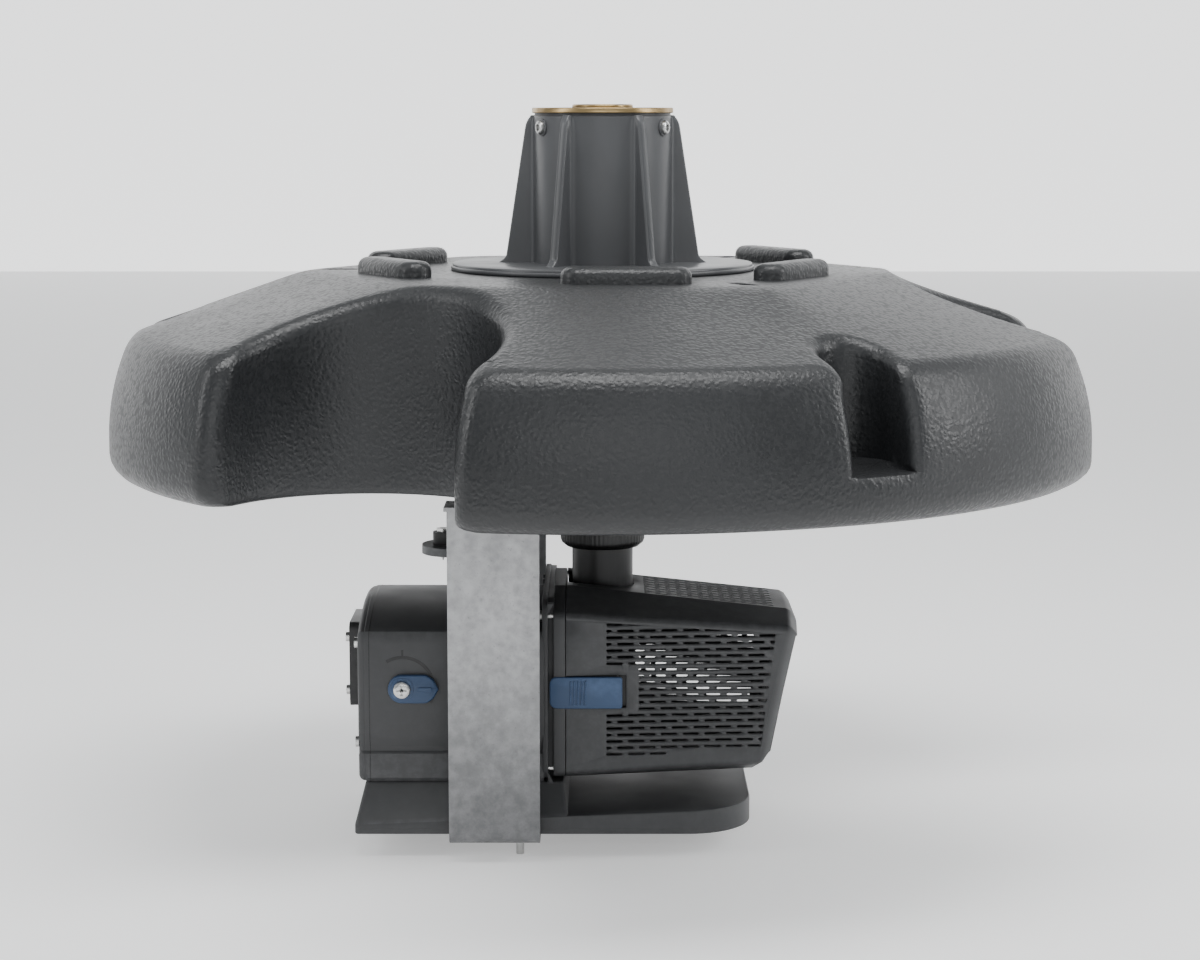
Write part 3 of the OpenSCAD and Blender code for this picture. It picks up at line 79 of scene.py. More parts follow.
def piece(name, points, faces, body="root", slot="pump_grey", crease=32.0, weld=True):
    """A mesh from points in millimetres and lists of face indices; edges turned past crease stay sharp."""
    mesh = bpy.data.meshes.new(name)
    mesh.from_pydata((np.asarray(points, float) * MM).tolist(), [], [list(f) for f in faces])
    mesh.update()
    obj = bpy.data.objects.new(name, mesh)
    bpy.context.scene.collection.objects.link(obj)
    if weld:
        bm = bmesh.new()
        bm.from_mesh(mesh)
        bmesh.ops.remove_doubles(bm, verts=bm.verts, dist=2e-6)
        bmesh.ops.dissolve_degenerate(bm, edges=bm.edges, dist=1e-6)
        bm.to_mesh(mesh)
        bm.free()
    mesh.shade_smooth()
    mesh.set_sharp_from_angle(angle=math.radians(crease))
    mesh.materials.append(FINISH[slot])
    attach(obj, body)
    return obj


def grid_faces(rows, columns, closed_rows=False, closed_columns=False, start=0):
    """Quads over a rows x columns grid of points, their front on the side of (along row) x (along column)."""
    r = np.arange(rows if closed_rows else rows - 1)[:, None]
    c = np.arange(columns if closed_columns else columns - 1)[None, :]
    r1, c1 = (r + 1) % rows, (c + 1) % columns
    quads = np.stack([r * columns + c, r1 * columns + c, r1 * columns + c1, r * columns + c1], axis=-1)
    return (quads.reshape(-1, 4) + start).tolist()


def soft(points, radius, steps=5, closed=True):
    """Rounds each corner of a polyline by an arc of that radius, tangent to both sides."""
    p = np.asarray(points, float)
    radii = np.broadcast_to(np.asarray(radius, float), (len(p),))
    out = []
    for i in range(len(p)):
        if not closed and i in (0, len(p) - 1) or radii[i] <= 0:
            out.append(p[i])
            continue
        a, b = p[i - 1] - p[i], p[(i + 1) % len(p)] - p[i]
        la, lb = np.linalg.norm(a), np.linalg.norm(b)
        a, b = a / la, b / lb
        half = math.acos(np.clip(a @ b, -1, 1)) / 2
        if half > math.radians(89):
            out.append(p[i])
            continue
        cut = min(radii[i] / math.tan(half), 0.49 * la, 0.49 * lb)
        r = cut * math.tan(half)
        centre = p[i] + (a + b) / np.linalg.norm(a + b) * r / math.sin(half)
        start, end = p[i] + a * cut - centre, p[i] + b * cut - centre
        angle = math.atan2(start[0] * end[1] - start[1] * end[0], start @ end)
        t = np.linspace(0, 1, steps + 1) * angle
        turned_x = start[0] * np.cos(t) - start[1] * np.sin(t)
        turned_y = start[0] * np.sin(t) + start[1] * np.cos(t)
        out.extend(centre + np.stack([turned_x, turned_y], axis=1))
    return np.array(out)


def stand(points, origin, axis):
    """Turns points drawn around +Z so that +Z lies along axis, and moves them to origin."""
    z = np.asarray(axis, float) / np.linalg.norm(axis)
    helper = np.array([0, 0, 1.0]) if abs(z[2]) < 0.9 else np.array([1.0, 0, 0])
    x = np.cross(helper, z)
    x /= np.linalg.norm(x)
    y = np.cross(z, x)
    return np.asarray(points) @ np.stack([x, y, z]) + np.asarray(origin, float)


def turned_points(profile, steps=72, sides=0, sided=None, wave=None):
    """A profile of (radius, height) carried round +Z. sided marks profile points drawn with flat sides.

    A flat-sided radius is r / cos(angle from the middle of its side), and wave(angle, height) is added to it.
    """
    profile = np.asarray(profile, float)
    a = np.arange(steps) / steps * TURN
    r = np.repeat(profile[:, 0][:, None], steps, axis=1)
    if sides:
        part = TURN / sides
        flat = 1 / np.cos((a + part / 2) % part - part / 2)
        mask = np.ones(len(profile), bool) if sided is None else np.asarray(sided, bool)
        r[mask] *= flat[None, :]
    if wave is not None:
        r = r + wave(a[None, :], profile[:, 1][:, None])
    z = np.repeat(profile[:, 1][:, None], steps, axis=1)
    points = np.stack([r * np.cos(a), r * np.sin(a), z], axis=-1)
    return points.reshape(-1, 3), grid_faces(len(profile), steps, closed_columns=True)


def turned(name, profile, origin=(0, 0, 0), axis=(0, 0, 1), steps=72, **more):
    """A turned piece: its profile runs from the bottom's middle round the outside to the top's middle."""
    shape = {k: more.pop(k) for k in ("sides", "sided", "wave") if k in more}
    points, faces = turned_points(profile, steps, **shape)
    faces = [f[::-1] for f in faces]
    return piece(name, stand(points, origin, axis), faces, **more)


def inset(outline, distance):
    """Moves a closed counter-clockwise outline inwards by that distance along its mitred normals."""
    before, after = outline - np.roll(outline, 1, axis=0), np.roll(outline, -1, axis=0) - outline
    before /= np.linalg.norm(before, axis=1)[:, None] + 1e-12
    after /= np.linalg.norm(after, axis=1)[:, None] + 1e-12
    normal = np.stack([-before[:, 1] - after[:, 1], before[:, 0] + after[:, 0]], axis=1)
    normal /= np.linalg.norm(normal, axis=1)[:, None] + 1e-12
    lean = np.clip(np.abs(normal[:, 0] * -after[:, 1] + normal[:, 1] * after[:, 0]), 0.5, 1)
    return outline + normal * (distance / lean)[:, None]


def closed_loft(rows):
    """Points and faces of a closed skin through equally long outlines, with a flat cap at both ends."""
    n = len(rows[0])
    faces = [f[::-1] for f in grid_faces(len(rows), n, closed_columns=True)]
    faces += [list(range(n))[::-1], list(range((len(rows) - 1) * n, len(rows) * n))]
    return np.concatenate(rows), faces


def slab_points(outline, z0, z1, edge0=0.5, edge1=0.5, steps=3):
    """A plate over a counter-clockwise outline from z0 to z1, its edges rounded by quarter circles."""
    t = np.linspace(0, math.pi / 2, steps + 1)
    rows = [(edge0 * (1 - math.sin(a)), z0 + edge0 * (1 - math.cos(a))) for a in t]
    rows += [(edge1 * (1 - math.cos(a)), z1 - edge1 * (1 - math.sin(a))) for a in t]
    rings = [np.column_stack([inset(outline, i), np.full(len(outline), z)]) for i, z in rows]
    return closed_loft(rings)


def slab(name, outline, z0, z1, edge0=0.5, edge1=0.5, origin=(0, 0, 0), axis=(0, 0, 1), steps=3, **more):
    """A plate with rounded edges, stood on an axis."""
    points, faces = slab_points(np.asarray(outline, float), z0, z1, edge0, edge1, steps)
    return piece(name, stand(points, origin, axis), faces, **more)


def end_slab(name, outline_yz, x0, x1, edge0=0.5, edge1=0.5, steps=3, **more):
    """A plate whose outline is drawn in Y and Z, seen from +X, from x0 to x1."""
    points, faces = slab_points(np.asarray(outline_yz, float), x0, x1, edge0, edge1, steps)
    placed = np.stack([points[:, 2], points[:, 0], points[:, 1]], axis=1)
    return piece(name, placed, faces, **more)


def rectangle(x0, y0, x1, y1):
    """The four corners of a rectangle, counter-clockwise."""
    return [(x0, y0), (x1, y0), (x1, y1), (x0, y1)]


def merged(name, parts, **more):
    """One piece of several solids, each given as points and faces."""
    points, faces, base = [], [], 0
    for p, f in parts:
        points.append(np.asarray(p, float))
        faces += [[i + base for i in face] for face in f]
        base += len(p)
    return piece(name, np.concatenate(points), faces, **more)


def stadium(length, width, steps=4):
    """Outline of a slot with round ends, its length along the first axis."""
    a = np.linspace(-math.pi / 2, math.pi / 2, steps + 1)
    right = np.stack([length / 2 - width / 2 + width / 2 * np.cos(a), width / 2 * np.sin(a)], axis=1)
    return np.concatenate([right, -right])


def inside(points, outline):
    """Which points lie inside an outline, by counting the sides that a ray along +X crosses."""
    x, y = points[:, 0][:, None], points[:, 1][:, None]
    x0, y0 = outline[:, 0][None, :], outline[:, 1][None, :]
    x1, y1 = np.roll(x0, -1, axis=1), np.roll(y0, -1, axis=1)
    crosses = ((y0 > y) != (y1 > y)) & (x < (x1 - x0) * (y - y0) / np.where(y1 == y0, 1e-12, y1 - y0) + x0)
    return crosses.sum(axis=1) % 2 == 1


def sheet_with_holes(outline, holes=(), extra=None, rings=()):
    """Triangles over an outline without its holes, through extra points and along closed rings of points."""
    points, edges = [], []
    for ring in (outline, *holes, *rings):
        base, n = len(points), len(ring)
        points.extend(map(tuple, ring))
        edges.extend((base + i, base + (i + 1) % n) for i in range(n))
    if extra is not None and len(extra):
        points.extend(map(tuple, extra))
    found = delaunay_2d_cdt([Vector(p) for p in points], edges, [], 0, 1e-5)
    flat = np.array([tuple(v) for v in found[0]])
    triangles = np.array(found[2])
    middle = flat[triangles].mean(axis=1)
    keep = inside(middle, np.asarray(outline))
    for hole in holes:
        keep &= ~inside(middle, np.asarray(hole))
    triangles = triangles[keep]
    a, b, c = flat[triangles[:, 0]], flat[triangles[:, 1]], flat[triangles[:, 2]]
    turn = (b[:, 0] - a[:, 0]) * (c[:, 1] - a[:, 1]) - (b[:, 1] - a[:, 1]) * (c[:, 0] - a[:, 0])
    triangles[turn < 0] = triangles[turn < 0][:, ::-1]
    return flat, triangles


def panel(outline, holes, lift, flip=False, extra=None, rings=()):
    """Points and triangles of a sheet with holes; lift turns its plan into points, and flip turns it over."""
    flat, triangles = sheet_with_holes(np.asarray(outline, float), holes, extra, rings)
    return lift(flat), (triangles[:, ::-1] if flip else triangles).tolist()


# Shader node groups shared by several materials


def new_group(name, inputs, outputs):
    """A node group with float inputs given as (name, default) and outputs given as (name, kind)."""
    group = bpy.data.node_groups.new(name, "ShaderNodeTree")
    for label, value in inputs:
        group.interface.new_socket(label, in_out="INPUT", socket_type="NodeSocketFloat").default_value = value
    for label, kind in outputs:
        group.interface.new_socket(label, in_out="OUTPUT", socket_type=kind)
    return group, group.nodes.new("NodeGroupInput"), group.nodes.new("NodeGroupOutput")


class Wiring:
    """Short calls that add and join the nodes of one tree."""

    def __init__(self, tree):
        self.tree = tree

    def node(self, kind, **settings):
        """Adds a node and sets its properties."""
        n = self.tree.nodes.new(kind)
        for key, value in settings.items():
            setattr(n, key, value)
        return n

    def join(self, a, b):
        """Links an output to an input."""
        self.tree.links.new(a, b)

    def maths(self, operation, a, b=None, clamp=False):
        """One operation on outputs or plain numbers."""
        n = self.node("ShaderNodeMath", operation=operation, use_clamp=clamp)
        for k, value in enumerate((a, b)):
            if value is None:
                continue
            if isinstance(value, (int, float)):
                n.inputs[k].default_value = value
            else:
                self.join(value, n.inputs[k])
        return n.outputs[0]

    def span(self, value, from0, from1, to0, to1):
        """Maps one span of values smoothly onto another, held at its ends."""
        n = self.node("ShaderNodeMapRange", interpolation_type="SMOOTHSTEP")
        self.join(value, n.inputs["Value"])
        for key, v in zip(("From Min", "From Max", "To Min", "To Max"), (from0, from1, to0, to1)):
            n.inputs[key].default_value = v
        return n.outputs["Result"]

    def noise(self, vector, scale, detail=3.0, rough=0.55):
        """Noise with that many cells to the metre."""
        n = self.node("ShaderNodeTexNoise")
        self.join(vector, n.inputs["Vector"])
        if isinstance(scale, (int, float)):
            n.inputs["Scale"].default_value = scale
        else:
            self.join(scale, n.inputs["Scale"])
        n.inputs["Detail"].default_value = detail
        n.inputs["Roughness"].default_value = rough
        return n.outputs["Fac"]

    def blend(self, factor, a, b):
        """Mixes two colours, each an output or three plain numbers."""
        n = self.node("ShaderNodeMix", data_type="RGBA")
        self.join(factor, n.inputs["Factor"])
        for key, value in (("A", a), ("B", b)):
            socket = [s for s in n.inputs if s.name == key and s.type == "RGBA"][0]
            if isinstance(value, tuple):
                socket.default_value = (*value, 1)
            else:
                self.join(value, socket)
        return [s for s in n.outputs if s.type == "RGBA"][0]


def grain_group():
    """Fine moulded or spark-eroded grain: two scales of noise as a height and a roughness shift."""
    group, given, out = new_group("moulded_grain", [("Scale", 900.0)],
                                  [("Height", "NodeSocketFloat"), ("Shift", "NodeSocketFloat")])
    w = Wiring(group)
    place = w.node("ShaderNodeTexCoord").outputs["Object"]
    fine = w.noise(place, given.outputs["Scale"], 4.0, 0.6)
    broad = w.noise(place, 14.0, 3.0)
    w.join(fine, out.inputs["Height"])
    w.join(w.span(broad, 0.3, 0.7, -0.05, 0.07), out.inputs["Shift"])
    return group


def pebble_group():
    """Leather-like pebble of a rotomoulded skin: soft cells between wandering furrows, and wrinkles."""
    group, given, out = new_group("pebble_skin", [("Scale", 300.0)],
                                  [("Height", "NodeSocketFloat"), ("Furrow", "NodeSocketFloat")])
    w = Wiring(group)
    place = w.node("ShaderNodeTexCoord").outputs["Object"]
    warp = w.node("ShaderNodeTexNoise")
    w.join(place, warp.inputs["Vector"])
    warp.inputs["Scale"].default_value = 160.0
    shifted = w.node("ShaderNodeVectorMath", operation="MULTIPLY_ADD")
    w.join(warp.outputs["Color"], shifted.inputs[0])
    shifted.inputs[1].default_value = (0.004, 0.004, 0.004)
    w.join(place, shifted.inputs[2])
    cells = w.node("ShaderNodeTexVoronoi", feature="SMOOTH_F1")
    w.join(shifted.outputs[0], cells.inputs["Vector"])
    w.join(given.outputs["Scale"], cells.inputs["Scale"])
    cells.inputs["Smoothness"].default_value = 0.35
    wrinkle = w.noise(shifted.outputs[0], 520.0, 3.0, 0.6)
    dome = w.span(cells.outputs["Distance"], 0.0, 0.75, 1.0, 0.0)
    w.join(w.maths("ADD", w.maths("MULTIPLY", dome, 0.7), w.maths("MULTIPLY", wrinkle, 0.5)),
           out.inputs["Height"])
    w.join(w.span(cells.outputs["Distance"], 0.45, 0.8, 0.0, 1.0), out.inputs["Furrow"])
    return group


def wear_group():
    """Edge wear: convex edges, found by the mesh's pointiness and broken up by noise."""
    group, given, out = new_group("edge_wear", [("Amount", 0.5)], [("Mask", "NodeSocketFloat")])
    w = Wiring(group)
    place = w.node("ShaderNodeTexCoord").outputs["Object"]
    edge = w.span(w.node("ShaderNodeNewGeometry").outputs["Pointiness"], 0.515, 0.60, 0.0, 1.0)
    spots = w.span(w.noise(place, 120.0, 4.0, 0.7), 0.35, 0.7, 0.2, 1.0)
    w.join(w.maths("MULTIPLY", w.maths("MULTIPLY", edge, spots), given.outputs["Amount"]), out.inputs["Mask"])
    return group


def dust_group():
    """A breath of pale dust on what faces up, in soft patches."""
    group, given, out = new_group("settled_dust", [("Amount", 0.1)], [("Mask", "NodeSocketFloat")])
    w = Wiring(group)
    place = w.node("ShaderNodeTexCoord").outputs["Object"]
    parts = w.node("ShaderNodeSeparateXYZ")
    w.join(w.node("ShaderNodeNewGeometry").outputs["Normal"], parts.inputs[0])
    up = w.span(parts.outputs["Z"], 0.2, 1.0, 0.0, 1.0)
    patch = w.span(w.noise(place, 22.0, 5.0, 0.65), 0.35, 0.75, 0.15, 1.0)
    w.join(w.maths("MULTIPLY", w.maths("MULTIPLY", up, patch), given.outputs["Amount"]), out.inputs["Mask"])
    return group


GRAIN = grain_group()
PEBBLE = pebble_group()
WEAR = wear_group()
DUST = dust_group()
DUST_COLOUR = (0.30, 0.30, 0.29)


def material(name):
    """A new material with its Principled shader and wiring."""
    mat = bpy.data.materials.new(name)
    mat.use_nodes = True
    w = Wiring(mat.node_tree)
    return mat, w, mat.node_tree.nodes["Principled BSDF"]


def placed_group(w, group, **values):
    """Places a shared node group in a material with its own values."""
    n = w.node("ShaderNodeGroup")
    n.node_tree = group
    for key, value in values.items():
        n.inputs[key].default_value = value
    return n


def bumped(w, shader, height, depth):
    """Joins a height to the shader's normal as a bump that deep, in metres."""
    bump = w.node("ShaderNodeBump")
    bump.inputs["Strength"].default_value = 1.0
    bump.inputs["Distance"].default_value = depth
    w.join(height, bump.inputs["Height"])
    w.join(bump.outputs[0], shader.inputs["Normal"])


def moulded(name, colour, roughness, grain=900.0, depth=0.00008, wear=0.35, dust=0.08, worn=None,
            specular=0.5):
    """Moulded plastic: fine grain, slow changes of tone and gloss, rubbed edges and a little dust."""
    mat, w, shader = material(name)
    worn = worn or tuple(min(1.0, 2.2 * c + 0.03) for c in colour)
    place = w.node("ShaderNodeTexCoord").outputs["Object"]
    tone = w.span(w.noise(place, 9.0, 4.0), 0.3, 0.7, 0.0, 1.0)
    body = w.blend(tone, tuple(0.86 * c for c in colour), tuple(1.14 * c for c in colour))
    edge = placed_group(w, WEAR, Amount=wear)
    body = w.blend(edge.outputs["Mask"], body, worn)
    settled = placed_group(w, DUST, Amount=dust)
    body = w.blend(settled.outputs["Mask"], body, DUST_COLOUR)
    w.join(body, shader.inputs["Base Color"])
    skin = placed_group(w, GRAIN, Scale=grain)
    rough = w.maths("ADD", skin.outputs["Shift"], roughness)
    rough = w.maths("ADD", rough, w.maths("MULTIPLY", settled.outputs["Mask"], 0.4), clamp=True)
    w.join(rough, shader.inputs["Roughness"])
    shader.inputs["Specular IOR Level"].default_value = specular
    bumped(w, shader, skin.outputs["Height"], depth)
    return mat


def float_skin_material():
    """Rotomoulded float: near-black skin with a leathery pebble, duller in its furrows."""
    mat, w, shader = material("float_black")
    place = w.node("ShaderNodeTexCoord").outputs["Object"]
    skin = placed_group(w, PEBBLE, Scale=300.0)
    tone = w.span(w.noise(place, 6.0, 4.0), 0.3, 0.7, 0.0, 1.0)
    body = w.blend(tone, (0.0135, 0.0143, 0.0154), (0.0195, 0.0206, 0.0222))
    edge = placed_group(w, WEAR, Amount=0.25)
    body = w.blend(edge.outputs["Mask"], body, (0.06, 0.062, 0.065))
    settled = placed_group(w, DUST, Amount=0.02)
    body = w.blend(settled.outputs["Mask"], body, DUST_COLOUR)
    w.join(body, shader.inputs["Base Color"])
    furrows = w.maths("MULTIPLY", skin.outputs["Furrow"], 0.12)
    dusty = w.maths("MULTIPLY", settled.outputs["Mask"], 0.5)
    rough = w.maths("ADD", w.span(tone, 0.0, 1.0, 0.32, 0.40), furrows)
    w.join(w.maths("ADD", rough, dusty), shader.inputs["Roughness"])
    bumped(w, shader, skin.outputs["Height"], 0.00028)
    return mat


def galvanised_material():
    """Zinc-coated sheet: soft cloudy spangle and dark specks, duller towards its deep end in the water."""
    mat, w, shader = material("galvanised")
    place = w.node("ShaderNodeTexCoord").outputs["Object"]
    cloud = w.noise(place, 80.0, 8.0, 0.7)
    spangle = w.node("ShaderNodeTexVoronoi", feature="SMOOTH_F1")
    w.join(place, spangle.inputs["Vector"])
    spangle.inputs["Scale"].default_value = 170.0
    spangle.inputs["Smoothness"].default_value = 0.6
    cells = w.span(spangle.outputs["Distance"], 0.1, 0.8, 0.0, 1.0)
    mix = w.maths("ADD", w.maths("MULTIPLY", w.span(cloud, 0.3, 0.72, 0.0, 1.0), 0.75),
                  w.maths("MULTIPLY", cells, 0.25))
    body = w.blend(mix, (0.32, 0.323, 0.328), (0.43, 0.434, 0.44))
    parts = w.node("ShaderNodeSeparateXYZ")
    w.join(place, parts.inputs[0])
    deep = w.span(parts.outputs["Z"], -0.13, -0.30, 0.0, 1.0)
    wet = w.maths("MULTIPLY", deep, w.span(cloud, 0.25, 0.7, 1.0, 0.72))
    body = w.blend(wet, body, (0.15, 0.152, 0.156))
    specks = w.span(w.noise(place, 420.0, 3.0, 0.7), 0.62, 0.74, 0.0, 0.35)
    body = w.blend(specks, body, (0.12, 0.12, 0.12))
    w.join(body, shader.inputs["Base Color"])
    w.join(w.span(mix, 0.0, 1.0, 0.56, 0.42), shader.inputs["Roughness"])
    shader.inputs["Metallic"].default_value = 0.75
    bumped(w, shader, w.maths("ADD", cloud, w.maths("MULTIPLY", cells, 0.4)), 0.00012)
    return mat


def metal(name, colour, roughness, streak=600.0, tarnish=None, metallic=1.0):
    """Turned or drawn metal: fine rings or streaks in the bump, with tarnish in patches."""
    mat, w, shader = material(name)
    place = w.node("ShaderNodeTexCoord").outputs["Object"]
    patch = w.span(w.noise(place, 60.0, 5.0, 0.6), 0.35, 0.7, 0.0, 1.0)
    body = w.blend(patch, colour, tarnish or tuple(0.72 * c for c in colour))
    edge = placed_group(w, WEAR, Amount=0.4)
    body = w.blend(edge.outputs["Mask"], body, tuple(min(1.0, 1.25 * c) for c in colour))
    w.join(body, shader.inputs["Base Color"])
    w.join(w.span(patch, 0.0, 1.0, roughness - 0.04, roughness + 0.12), shader.inputs["Roughness"])
    shader.inputs["Metallic"].default_value = metallic
    fine = w.noise(place, streak, 4.0, 0.7)
    bumped(w, shader, fine, 0.00003)
    return mat


def rubber_material():
    """Matt rubber with a light bloom."""
    return moulded("rubber", (0.014, 0.014, 0.0145), 0.72, grain=1400.0, depth=0.00005, wear=0.15, dust=0.1,
                   specular=0.3)


FINISH = {
    "float_black": float_skin_material(),
    "tower_plastic": moulded("tower_plastic", (0.066, 0.068, 0.072), 0.34, grain=1500.0, depth=0.00004),
    "pump_grey": moulded("pump_grey", (0.040, 0.041, 0.043), 0.50, grain=1300.0, depth=0.00007),
    "cage_grey": moulded("cage_grey", (0.038, 0.039, 0.041), 0.50, grain=1300.0, depth=0.00007),
    "black_plastic": moulded("black_plastic", (0.010, 0.010, 0.0105), 0.42, depth=0.00006),
    "pipe_black": moulded("pipe_black", (0.002, 0.002, 0.0022), 0.42, depth=0.00004, dust=0.03),
    "clamp_grey": moulded("clamp_grey", (0.055, 0.057, 0.060), 0.5),
    "light_plastic": moulded("light_plastic", (0.62, 0.61, 0.57), 0.45, worn=(0.7, 0.7, 0.68)),
    "blue_plastic": moulded("blue_plastic", (0.026, 0.060, 0.135), 0.42, worn=(0.10, 0.17, 0.32), dust=0.04),
    "rubber": rubber_material(),
    "galvanised": galvanised_material(),
    "stainless": metal("stainless", (0.62, 0.62, 0.61), 0.28),
    "brass": metal("brass", (0.40, 0.29, 0.145), 0.32, tarnish=(0.27, 0.19, 0.095)),
    "magnet_metal": metal("magnet_metal", (0.45, 0.45, 0.46), 0.35),
    "magnet_dark": moulded("magnet_dark", (0.03, 0.03, 0.032), 0.55),
    "copper": metal("copper", (0.72, 0.33, 0.18), 0.32),
    "ceramic_white": moulded("ceramic_white", (0.74, 0.73, 0.70), 0.25, worn=(0.8, 0.8, 0.78), dust=0.0),
}

for node_name, obj in frame["nodes"].items():
    slot_name = next((s["material_slot"] for s in frame["record"].get("subparts", [])
                      if s.get("node") == node_name and "material_slot" in s), None)
    if slot_name in FINISH:
        obj.data.materials.clear()
        obj.data.materials.append(FINISH[slot_name])

# Float: a grid of closed outlines for its sides, and sheets of triangles for its top and underside

# Heights are over the underside, and turns are degrees from the front towards +X
THIRD = 120.0
CREASE_R, CREASE_H = 348.0, 100.0
CREASE_REACH = 11.0
CREASE_UP = 1.5
CREASE_EASE = 10.0
SIDE_CURVE, SIDE_STRAIGHT, SIDE_FILLET = 168.0, 25.0, 15.3
APOTHEM = 198.0
PLATEAU_ROUND = 24.0
# What a rounding takes off a six-sided corner, as a share of its radius
CORNER_SHARE = 0.155
CORNER_BLEND = 8.0
TOP_BLEND = 1.3
SCALLOP_TURN, SCALLOP_HALF, SCALLOP_DIST = -30.5, 92.5, 311.5
NOTCH_TURN, NOTCH_HALF, NOTCH_DIST = 29.5, 22.5, 326.0
NOTCH_FLOOR = 33.0
NOTCH_RIM = 33.9
NOTCH_FOOT = 36.0
NOTCH_OPEN = 40.0
NOTCH_FIRST = 0.02
NOTCH_CORNER = 7.0
LIP, LOWER_EDGE, CORNER_ROUND = 11.0, 5.0, 13.0
NOTCH_LIP = 0.75 * LIP
EDGE_ROWS, LIP_ROWS = 6, 9
# Levels round the notch's floor, as height and how far the notch is open
NOTCH_LEVELS = ((22.0, 0.0), (29.0, 0.0), (32.0, 0.03), (NOTCH_FLOOR, 0.09), (33.4, 0.5), (34.0, 0.93),
                (NOTCH_FOOT, 0.985), (NOTCH_OPEN, 1.0))
WALL_LEVELS = np.linspace(48.0, 84.0, 5)
WELL_R, WELL_STEPS = 27.0, 64
# Radial slots in the top, one behind each notch
SLOT_LENGTH = 29.0
SLOT_WIDTH = 11.0
SLOT_R = 195.5
SLOT_DEPTH = 13.0
# Rings round each slot, as growth of its outline and height below the top
SLOT_RINGS = ((1.4, 0.0), (0.5, -0.4), (0.1, -1.4), (-0.3, -SLOT_DEPTH))
# Triangle pattern of the top, its rows a share of a step apart
MESH_REACH = 350
MESH_STEP = 5.0
ROW_SHARE = 0.866
MESH_GAP = 3.0
# Raised bars, one towards each of six directions, shifted to one side by turns
BAR_LENGTH = 90.0
BAR_WIDTH = 25.0
BAR_R = 164.0
BAR_SHIFT = 16.0
BAR_WALL = 5.0
BAR_DOME = 6.5
BAR_EDGE = 7.5
BAR_SUNK = 3.0


def from_front(azimuth, radius):
    """Plan position at an azimuth in degrees from -Y towards +X."""
    a = np.radians(azimuth)
    return np.stack([np.sin(a) * radius, -np.cos(a) * radius], axis=-1)


def plateau_radius(azimuth):
    """Distance from the axis to the edge of the six-sided top, its corners rounded by a soft minimum."""
    off = np.radians((np.asarray(azimuth) + 30.0) % 60.0 - 30.0)
    flat = APOTHEM / np.cos(off)
    corner = APOTHEM / math.cos(math.pi / 6) - CORNER_SHARE * PLATEAU_ROUND
    return -CORNER_BLEND * np.log(np.exp(-flat / CORNER_BLEND) + np.exp(-corner / CORNER_BLEND))


def top_height(x, y):
    """Height of the top: a flat, then straight lines down to the crease, joined by a soft minimum."""
    radius = np.hypot(x, y)
    edge = plateau_radius(np.degrees(np.arctan2(x, -y)))
    slope = PLATEAU_H - (PLATEAU_H - CREASE_H) * (radius - edge) / (CREASE_R - edge)
    return -TOP_BLEND * np.logaddexp(-slope / TOP_BLEND, -PLATEAU_H / TOP_BLEND)


def side_radius(h):
    """Radius of the leaning side wall at a height: a circle's arc above a short straight."""
    up = np.maximum(h - SIDE_STRAIGHT, 0.0)
    return FLOAT_R - SIDE_CURVE + np.sqrt(SIDE_CURVE ** 2 - up ** 2)


def cut_outline(half, distance, disc_r, corner, n_wall=10, n_arc=28, n_corner=8):
    """Half of a U-shaped cut from the rim to its inner middle, each point's rim share and the half angle.

    The cut runs along +Y: a straight wall at x = half, then a half circle around (0, distance). The corner
    between the rim's circle and the wall is an arc that touches both.
    """
    x = half + corner
    centre = np.array([x, math.sqrt(max((disc_r - corner) ** 2 - x ** 2, 1.0))])
    rim_touch = centre / np.linalg.norm(centre) * disc_r
    a0 = math.atan2(*(rim_touch - centre)[::-1])
    angles = np.linspace(a0, math.pi, n_corner)
    points = [centre + corner * np.stack([np.cos(angles), np.sin(angles)], axis=1)]
    share = [np.linspace(1.0, 0.0, n_corner)]
    t = np.linspace(0, 1, n_wall + 1)[1:, None]
    wall0, wall1 = np.array([half, centre[1]]), np.array([half, distance])
    points.append(wall0 + (wall1 - wall0) * t)
    a = np.linspace(0, -math.pi / 2, n_arc)[1:]
    points.append(np.stack([half * np.cos(a), distance + half * np.sin(a)], axis=1))
    share.append(np.zeros(n_wall + n_arc - 1))
    return np.concatenate(points), np.concatenate(share), math.degrees(math.atan2(rim_touch[0], rim_touch[1]))


